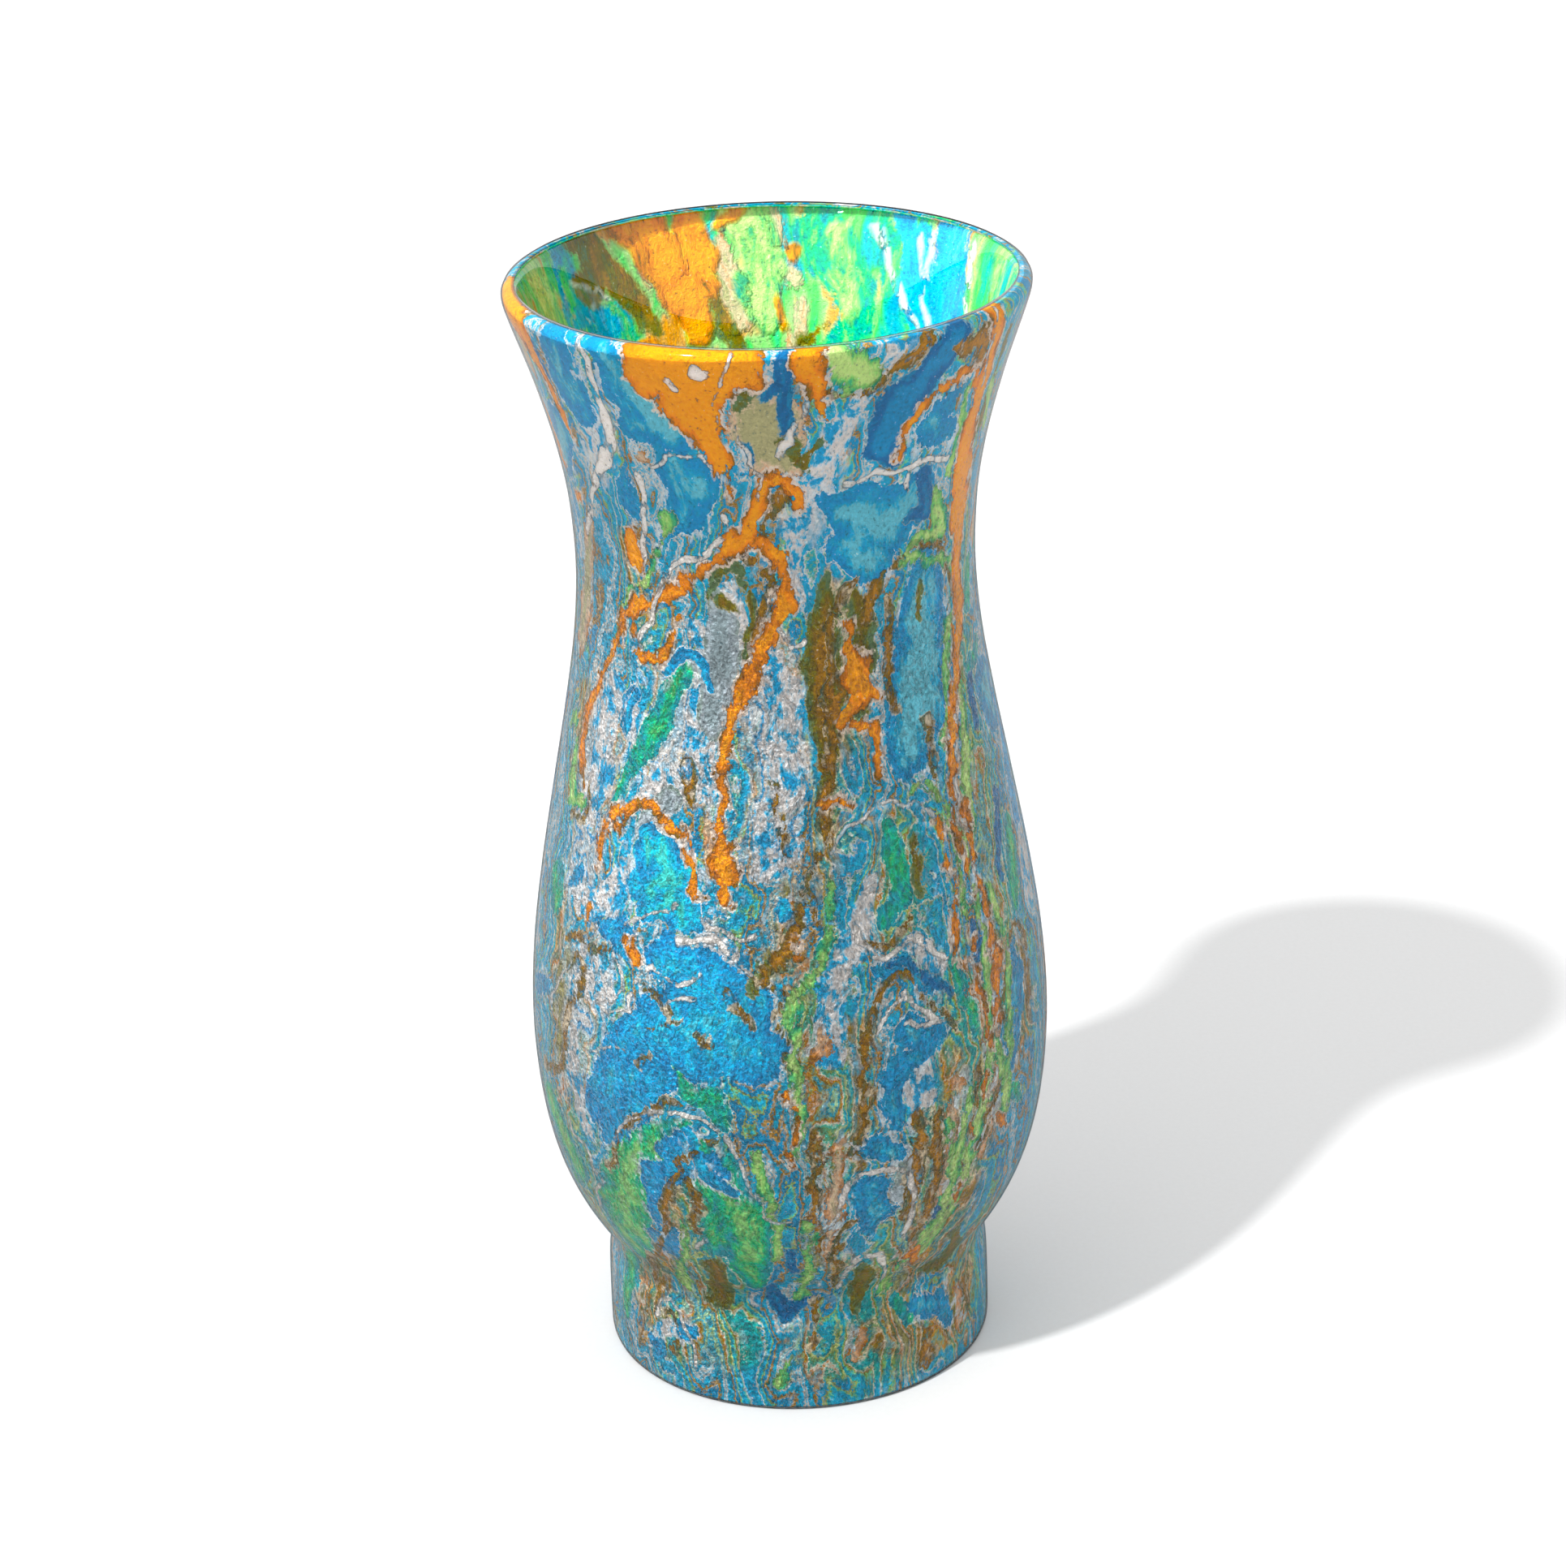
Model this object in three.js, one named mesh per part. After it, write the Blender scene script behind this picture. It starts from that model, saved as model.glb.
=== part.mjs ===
// A clear glass hurricane vase, coloured by marbled paint poured over its outside and sealed
// with a thin gloss coat. Millimetres, +Z up, origin on the floor under the centre.
// Every piece is turned about Z from a half-section of (radius, height) points.
import * as THREE from 'three';

// Outside of the finished vase, from the floor up
const FOOT_RADIUS = 40;
const PINCH_RADIUS = 39.2;
const PINCH_HEIGHT = 25;
const BULB_RADIUS = 53;
const BULB_HEIGHT = 75;
const NECK_RADIUS = 39.45;
const NECK_HEIGHT = 171;
const LIP_RADIUS = 51.1;
const OVERALL_HEIGHT = 230;

// Thicknesses, and the glass's own rounds
const WALL = 2.6;
const BASE_THICKNESS = 6;
const FOOT_EDGE_RADIUS = 1.5;
const INNER_CORNER_RADIUS = 6;
const PAINT_FILM = 0.5;
const GLOSS_COAT = 0.3;
const SKIN_CLEARANCE = 0.05;

// How far round the foot's edge and the lip the skins are carried, in degrees
const FOOT_WRAP = 30;
const LIP_WRAP = 105;

// How far the wall leans out per millimetre of rise: entering and leaving the pinch, and at the lip
const PINCH_TAPER = -0.12;
const PINCH_FLARE = 0.68;
const LIP_FLARE = 0.347;

// Steps along each stretch of the half-section, and round the axis
const STEPS = { edge: 2, foot: 2, waist: 6, shoulder: 6, flare: 5, lip: 6, corner: 3, wrap: 4 };
const TURN_STEPS = 48;

// How deep each piece's outer face lies under the finished surface
const paintDepth = GLOSS_COAT + SKIN_CLEARANCE;
const glassDepth = paintDepth + PAINT_FILM + SKIN_CLEARANCE;

const outward = (direction) => new THREE.Vector2(direction.y, -direction.x);
const shifted = (point, direction, distance) => point.clone().addScaledVector(direction, distance);

// A curve up the wall. Each handle's share is a share of the curve's own rise, and the two
// shares add up to less than one, so the curve never folds back when a size changes.
function stretch(from, fromLean, fromShare, to, toLean, toShare) {
  const rise = to.y - from.y;
  const start = shifted(from, new THREE.Vector2(fromLean, 1), fromShare * rise);
  const end = shifted(to, new THREE.Vector2(toLean, 1), -toShare * rise);
  return new THREE.CubicBezierCurve(from, start, end, to);
}

// Points of an arc round a centre, from one angle in degrees to another
function arc(centre, radius, fromAngle, toAngle, steps) {
  const points = [];
  for (let i = 0; i <= steps; i += 1) {
    const angle = THREE.MathUtils.degToRad(THREE.MathUtils.lerp(fromAngle, toAngle, i / steps));
    const direction = new THREE.Vector2(Math.cos(angle), Math.sin(angle));
    points.push(shifted(centre, direction, radius));
  }
  return points;
}

// The glass's lip is a full round at the end of the leaning wall, and the skins wrap it
const lipRound = WALL / 2;
const lipCentre = new THREE.Vector2(
  LIP_RADIUS - glassDepth - lipRound,
  OVERALL_HEIGHT - glassDepth - lipRound,
);
const lipDirection = new THREE.Vector2(LIP_FLARE, 1).normalize();
const lipStart = shifted(lipCentre, outward(lipDirection), glassDepth + lipRound);
const lipLean = THREE.MathUtils.radToDeg(Math.atan(LIP_FLARE));
const footEdgeCentre = new THREE.Vector2(
  FOOT_RADIUS - glassDepth - FOOT_EDGE_RADIUS,
  FOOT_EDGE_RADIUS,
);

// The foot's wall is upright as far as the inner corner reaches
const cornerTop = BASE_THICKNESS + INNER_CORNER_RADIUS;

// The finished surface as points and directions, from the top of the inner corner to the
// lip's round; where two stretches meet they share one direction
function wallLine() {
  const foot = new THREE.Vector2(FOOT_RADIUS, cornerTop);
  const pinch = new THREE.Vector2(PINCH_RADIUS, PINCH_HEIGHT);
  const bulb = new THREE.Vector2(BULB_RADIUS, BULB_HEIGHT);
  const neck = new THREE.Vector2(NECK_RADIUS, NECK_HEIGHT);
  const stretches = [
    [stretch(foot, 0, 0.4, pinch, PINCH_TAPER, 0.3), STEPS.foot],
    [stretch(pinch, PINCH_FLARE, 0.22, bulb, 0, 0.57), STEPS.waist],
    [stretch(bulb, 0, 0.3, neck, 0, 0.235), STEPS.shoulder],
    [stretch(neck, 0, 0.3, lipStart, LIP_FLARE, 0.54), STEPS.flare],
  ];
  const line = [];
  for (const [curve, steps] of stretches) {
    for (let i = 0; i <= steps; i += 1) {
      const direction = curve.getTangent(i / steps);
      if (i === 0 && line.length > 0) {
        line.at(-1).direction.add(direction).normalize();
      } else {
        line.push({ point: curve.getPoint(i / steps), direction });
      }
    }
  }
  return line;
}

const wall = wallLine();

// The wall's points, so far under the finished surface
const under = (depth) => wall.map(({ point, direction }) => shifted(point, outward(direction), -depth));

// The inside of the glass: across the floor from the axis, round the corner and up the wall
function insideLine() {
  const depth = glassDepth + WALL;
  const cornerCentre = new THREE.Vector2(FOOT_RADIUS - depth - INNER_CORNER_RADIUS, cornerTop);
  return [
    new THREE.Vector2(0, BASE_THICKNESS),
    ...arc(cornerCentre, INNER_CORNER_RADIUS, -90, 0, STEPS.corner),
    ...under(depth).slice(1),
  ];
}

function glassOutline() {
  return [
    new THREE.Vector2(0, 0),
    ...arc(footEdgeCentre, FOOT_EDGE_RADIUS, -90, 0, STEPS.edge),
    ...under(glassDepth),
    ...arc(lipCentre, lipRound, -lipLean, 180 - lipLean, STEPS.lip).slice(1, -1),
    ...insideLine().reverse(),
  ];
}

// One face of a skin: from under the foot's edge, up the wall and over the lip
function skinFace(depth) {
  const overGlass = glassDepth - depth;
  const lipArc = arc(lipCentre, lipRound + overGlass, -lipLean, LIP_WRAP, STEPS.wrap);
  return [
    ...arc(footEdgeCentre, FOOT_EDGE_RADIUS + overGlass, -FOOT_WRAP, 0, STEPS.edge),
    ...under(depth),
    ...lipArc.slice(1),
  ];
}

// A skin of one thickness, a closed band that starts and ends at its own foot
function skinOutline(depth, thickness) {
  const outer = skinFace(depth);
  return [...outer, ...skinFace(depth + thickness).reverse(), outer[0].clone()];
}

function turned(name, outline, look) {
  const geometry = new THREE.LatheGeometry(outline, TURN_STEPS);
  const mesh = new THREE.Mesh(geometry, new THREE.MeshStandardMaterial(look));
  mesh.name = name;
  mesh.rotation.x = Math.PI / 2;
  return mesh;
}

const glassLook = { color: '#eef3f2', roughness: 0.03, metalness: 0, transparent: true, opacity: 0.3 };
const paintLook = { color: '#3f8fb4', roughness: 0.35, metalness: 0 };
const coatLook = { color: '#f4f4f0', roughness: 0.08, metalness: 0, transparent: true, opacity: 0.25 };

const group = new THREE.Group();
group.add(
  turned('glass_vessel', glassOutline(), glassLook),
  turned('marbled_paint_film', skinOutline(paintDepth, PAINT_FILM), paintLook),
  turned('clear_gloss_coat', skinOutline(0, GLOSS_COAT), coatLook),
);

export default group;
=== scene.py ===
"""A clear blown vase with marbled paint poured over its outside and a gloss seal over the paint.

Places on the wall are given as a turn in degrees (0 faces the viewer, positive to the right)
and a height in millimetres above the floor."""

import math

import bpy
import numpy as np
from mathutils import Matrix, Vector


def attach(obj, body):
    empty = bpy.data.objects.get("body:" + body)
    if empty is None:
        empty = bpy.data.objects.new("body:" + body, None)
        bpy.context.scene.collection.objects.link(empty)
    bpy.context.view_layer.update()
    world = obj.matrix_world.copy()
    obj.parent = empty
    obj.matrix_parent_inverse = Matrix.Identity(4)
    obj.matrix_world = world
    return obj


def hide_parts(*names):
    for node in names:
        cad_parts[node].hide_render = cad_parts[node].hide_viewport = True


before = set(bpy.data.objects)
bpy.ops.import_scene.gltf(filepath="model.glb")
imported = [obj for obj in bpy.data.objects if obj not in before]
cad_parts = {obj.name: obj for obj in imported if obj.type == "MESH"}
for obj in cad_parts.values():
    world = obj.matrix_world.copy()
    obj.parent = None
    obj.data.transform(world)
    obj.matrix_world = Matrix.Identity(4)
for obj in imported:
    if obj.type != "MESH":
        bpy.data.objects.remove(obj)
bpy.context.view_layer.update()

MM = 0.001
GLASS_TURN_STEPS = 192
GLASS_SPACING = 1.2 * MM
PAINT_TURN_STEPS = 480
PAINT_SPACING = 0.6 * MM
HIDDEN_PAINT_SPACING = 2.5 * MM
COAT_TURN_STEPS = 160
COAT_SPACING = 1.5 * MM
# The paint's inner face is looked at through the glass above this height, and the crease is below that one
SEEN_INSIDE_ABOVE = 180 * MM
CREASE_BELOW = 37 * MM
WETTED = 0.1 * MM
PINCH_HEIGHT = 25 * MM
EASED_REACH = 8 * MM
# Places nearer than this count as one
HAIR = 0.01 * MM

# How wide a degree of turn is on the wall, and the furthest that a run is felt, in millimetres
MM_PER_DEGREE = 0.79
FAR = 14.0
# The band of strings repeats this many times on each side of the vase
STRING_SETS = 13
# The thin drips, whose edges are nibbled by the paint under them
THIN = ("ochre", "lime", "orange", "peach")
# The pools whose edges tear into pale lace
LACY = ("blue", "sky_blue", "cyan", "peach")


# ---------------------------------------------------------------- shapes turned about the axis


def half_section(node):
    """The CAD node's half-section as (radius, height) points, walked from its lowest point outward."""
    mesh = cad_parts[node].data
    places = [(round(v.co.x, 6), round(v.co.z, 6)) for v in mesh.vertices]
    seam = [abs(v.co.y) < HAIR and v.co.x > -HAIR for v in mesh.vertices]
    joined = {}
    for edge in mesh.edges:
        a, b = edge.vertices
        if seam[a] and seam[b] and places[a] != places[b]:
            joined.setdefault(places[a], set()).add(places[b])
            joined.setdefault(places[b], set()).add(places[a])
    line = [min(joined, key=lambda p: (p[1], p[0]))]
    while True:
        onward = [p for p in joined[line[-1]] if p not in line]
        if not onward:
            return np.array(line)
        line.append(max(onward))


def smoothed(points, spacing):
    """A curve through the points, sampled about every spacing along it."""
    ends = np.vstack([2 * points[0] - points[1], points, 2 * points[-1] - points[-2]])
    line = [points[0]]
    for p0, p1, p2, p3 in zip(ends, ends[1:], ends[2:], ends[3:]):
        near, span, far = (math.sqrt(np.linalg.norm(q - p)) for p, q in ((p0, p1), (p1, p2), (p2, p3)))
        leaving = (p1 - p0) / near - (p2 - p0) / (near + span) + (p2 - p1) / span
        arriving = (p2 - p1) / span - (p3 - p1) / (span + far) + (p3 - p2) / far
        local = spacing(0.5 * (p1 + p2)) if callable(spacing) else spacing
        steps = max(1, round(np.linalg.norm(p2 - p1) / local))
        for t in np.arange(1, steps + 1) / steps:
            rise = 3 * t * t - 2 * t ** 3
            bow = (t ** 3 - 2 * t * t + t) * leaving * span + (t ** 3 - t * t) * arriving * span
            line.append(p1 + rise * (p2 - p1) + bow)
    line = np.array(line)
    line[:, 0] = np.clip(line[:, 0], 0, points[:, 0].max())
    line[:, 1] = np.clip(line[:, 1], points[:, 1].min(), points[:, 1].max())
    return line


def eased(line):
    """The line with the crease over the foot rounded off, as hot glass and poured paint leave it."""
    walked = np.concatenate([[0], np.cumsum(np.linalg.norm(np.diff(line, axis=0), axis=1))])
    soft = line.copy()
    for i, (radius, height) in enumerate(line):
        reach = EASED_REACH - abs(height - PINCH_HEIGHT)
        if reach > 0 and radius > EASED_REACH:
            weights = np.clip(1 - abs(walked - walked[i]) / reach, 0, None)
            soft[i] = weights @ line / weights.sum()
    return soft


def finer_at_crease(spacing):
    """The spacing away from the crease over the foot, and a fine one near it, so the skins ease alike."""
    return lambda point: PAINT_SPACING if abs(point[1] - PINCH_HEIGHT) < 1.5 * EASED_REACH else spacing


def turned(name, line, steps, material, closed=False):
    """A solid turned about Z from a half-section, which starts and ends on the axis or closes on itself."""
    ring = line if closed else line[1:-1]
    turns = np.arange(steps) * 2 * math.pi / steps
    radius, height = np.repeat(ring[:, :1], steps, 1), np.repeat(ring[:, 1:], steps, 1)
    places = np.stack([radius * np.sin(turns), -radius * np.cos(turns), height], -1).reshape(-1, 3)
    here = np.arange(steps)
    onward = (here + 1) % steps
    rows = len(ring)
    faces = []
    for row in range(rows if closed else rows - 1):
        low, high = row * steps, (row + 1) % rows * steps
        faces += np.stack([low + here, low + onward, high + onward, high + here], -1).tolist()
    if not closed:
        places = np.vstack([places, [0, 0, line[0, 1]], [0, 0, line[-1, 1]]])
        top = (rows - 1) * steps
        faces += [(rows * steps, j, i) for i, j in enumerate(onward.tolist())]
        faces += [(rows * steps + 1, top + i, top + j) for i, j in enumerate(onward.tolist())]
    mesh = bpy.data.meshes.new(name)
    mesh.from_pydata(places.tolist(), [], faces)
    mesh.materials.append(material)
    mesh.shade_smooth()
    piece = bpy.data.objects.new(name, mesh)
    bpy.context.scene.collection.objects.link(piece)
    return piece


# ---------------------------------------------------------------- where each paint went

# Each run of paint is a line of (turn, height, half-width) points, from where it was poured down
BLUE = [
    [(-52, 226, 4), (-53, 219, 4.5), (-50, 213, 4)],
    [(-37, 227, 4), (-31, 221, 7), (-25, 214, 6.5), (-34, 213, 4)],
    [(-24, 204, 4.5), (-20, 202, 5), (-22, 197, 4.2), (-27, 192, 2.6), (-31, 188, 1.5), (-33, 184, 1)],
    [(-42, 198, 2.4), (-41, 192, 1.8)],
    [(14, 196, 3), (23, 194, 6.5), (32, 191, 7), (42, 194, 5), (18, 187, 3.5), (27, 184, 5.5)],
    [(46, 213, 2.6), (42, 207, 4), (50, 206, 2.2)],
    [(47, 177, 5.5), (45, 168, 8), (43, 160, 8.5), (40, 152, 8), (36, 145, 6)],
    [(76, 148, 5.5), (78, 140, 4)],
    [(-45, 155, 2), (-46, 149, 1.2)],
    [(20, 103, 1.8), (26, 102, 2), (32, 98, 2)],
    [(27, 90, 3), (32, 86, 2.6), (24, 83, 2.2), (22, 77, 2.6), (24, 71, 2)],
    [(61, 97, 1.3), (60, 88, 2.6), (58, 80, 3), (56, 72, 2.4)],
    [(18, 66, 2.6), (23, 63, 2)],
    [(17, 56, 3.2), (18, 50, 3.6), (17, 46, 1.5)],
    [(-38, 42, 2.5), (-34, 38, 2), (-30, 43, 1.5)],
    [(-36, 14, 2.6), (-33, 14, 1.5)],
    [(-48, 8, 2.4), (-52, 10, 1.4)],
    [(37, 18, 2.6), (47, 17, 3), (50, 12, 2)],
    [(-68, 206, 6), (-73, 199, 5)],
    [(-58, 116, 1.4), (-62, 112, 1)],
    [(-79, 84, 3), (-70, 88, 1.5)],
]
# A lighter blue, partly a paint of its own and partly a painted sheen laid into the pool's colour.
SKY_BLUE_AND_SHEEN = [
    [(-46, 107, 2.6), (-41, 109, 3), (-40, 105, 2)],
    [(-29, 106, 4), (-20, 101, 7), (-12, 96, 7.5), (-26, 93, 7), (-8, 88, 6), (-34, 89, 5), (-40, 84, 4)],
    [(-46, 70, 4.5), (-42, 76, 5), (-36, 80, 4.5), (-30, 81, 3.5), (-44, 64, 3)],
    [(-24, 69, 2), (-29, 64, 2.6), (-18, 63, 2.4), (-33, 57, 3), (-35, 51, 2), (-34, 45, 1.5)],
]
DEEP_BLUE = [
    [(4, 222, 1), (3, 217, 1.3), (4, 212, 0.9)],
    [(-6, 210, 0.7), (-4, 207, 0.8)],
    [(4, 229, 2), (3, 224, 2.2), (-1, 221, 1)],
    [(43, 227, 3.8), (38, 221, 3.5), (31, 216, 5.2), (28, 208, 4.4), (32, 204, 2)],
    [(42, 197, 2.4), (45, 191, 2.2), (39, 190, 1)],
    [(-65, 224, 3), (-62, 219, 2)],
    [(66, 150, 1.6), (65, 142, 1.5)],
    [(66, 128, 1.6), (64, 120, 1.4), (62, 112, 0.8)],
    [(47, 107, 0.9), (48, 100, 0.9), (50, 96, 1), (53, 94, 0.8)],
    [(-6, 30, 1.3), (-6, 26, 2), (-3, 23, 1.8), (1, 24, 1.5), (3, 28, 1.2)],
    [(-2, 41, 1), (-1, 36, 1.1)],
    [(34, 47, 1.1), (33, 43, 0.8)],
    [(24, 103, 0.8), (33, 99, 1), (38, 94, 0.7)],
]
CYAN = [
    [(-33, 126, 5.5), (-28, 122, 6), (-37, 120, 4), (-25, 115, 4.5), (-35, 115, 3), (-20, 113, 1.6)],
    [(-1.5, 117, 2.3), (0, 115.5, 2)],
    [(-33, 161, 1), (-27, 165, 1.1), (-21, 163, 1.2), (-19, 159, 1)],
    [(-43, 154, 1.5), (-45, 148, 1)],
    [(-24, 70, 1.2), (-20, 60, 1.4), (-14, 57, 1)],
]
MINT = [
    [(-25, 108, 1.6), (-19, 106, 1.4)],
    [(-26, 84, 2), (-22, 80, 2.6)],
    [(-29, 65, 4), (-36, 62, 5), (-42, 55, 6), (-46, 45, 6), (-48, 35, 5)],
    [(-25, 66, 4), (-19, 61, 5), (-14, 52, 5.5), (-12, 42, 5), (-12, 33, 3.5)],
    [(-28, 161, 2.6), (-33, 155, 2.2), (-36, 149, 2.2), (-40, 143, 1.7), (-45, 137, 1.2), (-48, 131, 1)],
    [(-24, 72, 1.2), (-32, 69, 1.8), (-37, 64, 2.8), (-41, 58, 3.6), (-44, 52, 3.6), (-47, 45, 3.2),
     (-50, 37, 2.6)],
    [(-14, 66, 1.2), (-14, 58, 2.5), (-13, 50, 3.2), (-14, 43, 2.4), (-16, 36, 1.8)],
    [(-20, 56, 2.4), (-19, 48, 2.6), (-20, 41, 2)],
    [(-24, 86, 2.2), (-22, 80, 2.4), (-17, 78, 2.6), (-14, 73, 1.4)],
    [(26, 130, 2.2), (28, 122, 2.4), (28, 115, 2), (22, 113, 1.4)],
    [(-70, 112, 3.4), (-68, 106, 2.6)],
    [(-72, 61, 4.5), (-66, 55, 5.5), (-61, 50, 4.5), (-66, 46, 3)],
    [(-60, 27, 2.6), (-63, 19, 3), (-66, 11, 2.6)],
    [(-10, 225, 0.1), (-10, 224, 0.1)],
    [(66, 153, 1.6), (72, 155, 1.4), (76, 157, 1)],
    [(70, 166, 3), (74, 174, 2.4)],
    [(70, 120, 2), (69, 112, 2.6), (66, 104, 2)],
    [(40, 100, 1.4), (43, 92, 1.8), (44, 84, 1.6)],
    [(30, 22, 2), (34, 16, 1.8)],
    [(57, 66, 1.6), (61, 62, 1)],
]
LIME = [
    [(48, 128, 1.1), (49, 112, 1.3), (51, 96, 1.3), (49, 80, 1.5), (45, 62, 1.7), (39, 46, 1.8),
     (33, 34, 1.6)],
    [(56, 112, 1.1), (58, 96, 1.1), (57, 80, 1.3), (53, 62, 1.4)],
    [(41, 72, 1.2), (39, 58, 1.5), (35, 44, 1.5), (30, 33, 1.2)],
    [(-8, 66, 0.9), (-6, 52, 1.1), (-5, 40, 1.1)],
    [(13, 229, 2.6), (17, 226, 3.2), (21, 223, 2.4), (16, 220, 1)],
    [(53, 214, 1), (54, 205, 1.3), (55, 197, 1.2)],
    [(48, 194, 1.3), (51, 189, 2.2), (54, 184, 2), (44, 186, 1.3), (38, 182, 0.8), (58, 177, 1),
     (60, 171, 0.8)],
    [(-29, 193.5, 1.4), (-31, 190, 1.1), (-34, 185, 0.9), (-37, 180.5, 0.7), (-41, 177.8, 0.6),
     (-47, 176.5, 0.6), (-50, 172, 0.7)],
    [(-52, 168, 0.6), (-57, 161, 0.6), (-61, 156, 0.6)],
    [(-76, 142, 1.2), (-73, 145, 1.3), (-70, 141, 1.2), (-70, 133, 1.5), (-67, 128, 1.8), (-61, 129, 1.8)],
    [(57, 165, 1.8), (54, 158, 1.4), (50, 150, 1), (47, 143, 1)],
    [(34, 136.5, 0.8), (39, 137.2, 1.1), (43, 134, 0.9), (45, 128, 0.9), (45, 119, 0.9), (44, 111, 0.9),
     (45, 104, 1)],
    [(58, 152, 2), (56, 143, 2.2), (54, 134, 1.8), (53, 122, 1.6)],
    [(12, 122, 0.5), (10, 115, 0.8), (8, 109, 0.8), (5, 103, 0.9), (2, 98, 1.1), (1, 91, 1), (1, 84, 1.1),
     (0, 77, 1.2), (0, 70, 1.4), (1, 66, 0.7)],
    [(3, 49, 0.9), (2, 43, 1), (3, 36, 1.2), (1, 31, 1.2), (0, 27, 1)],
    [(-27, 47, 1.1), (-26, 43, 1), (-30, 37, 1.2), (-34, 31, 1.5), (-33, 25, 1.3)],
    [(36, 68, 0.9), (36, 60, 1), (38, 52, 0.8)],
    [(52, 78, 1.3), (53, 72, 1.2)],
    [(-4, 12, 1), (-8, 7, 1.2)],
    [(26, 26, 1.6), (28, 32, 1)],
    [(68, 212, 2), (71, 203, 1.6)],
]
PEACH = [
    [(38, 76, 1.2), (36, 60, 1.4), (33, 46, 1.2)],
    [(9, 68, 1.3), (9, 54, 1.5), (8, 42, 1.2)],
    [(48, 128, 0.8), (50, 100, 0.8), (52, 76, 1.0), (47, 56, 1.1)],
    [(-2, 220, 4), (-1, 214, 7), (1, 208, 5)],
    [(-36, 206, 1.4), (-33, 205, 1)],
    [(-62, 186, 2), (-67, 178, 4), (-71, 169, 4), (-75, 160, 3.4)],
    [(-72, 224, 3), (-74, 217, 2)],
    [(-20, 135, 1.2), (-18, 129, 1.5), (-18, 123, 1.2)],
    [(45, 100, 1), (47, 91, 1.1), (48, 83, 0.9), (47, 74, 0.8), (45, 66, 0.8)],
    [(36, 150, 0.1), (36, 149, 0.1)],
    [(52, 142, 0.9), (51, 133, 0.9), (50, 124, 0.8)],
    [(7, 93, 1), (6, 88, 0.8)],
    [(56, 17, 1.2), (58, 10, 1.2)],
    [(18, 17, 1), (16, 11, 1.1)],
]
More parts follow.
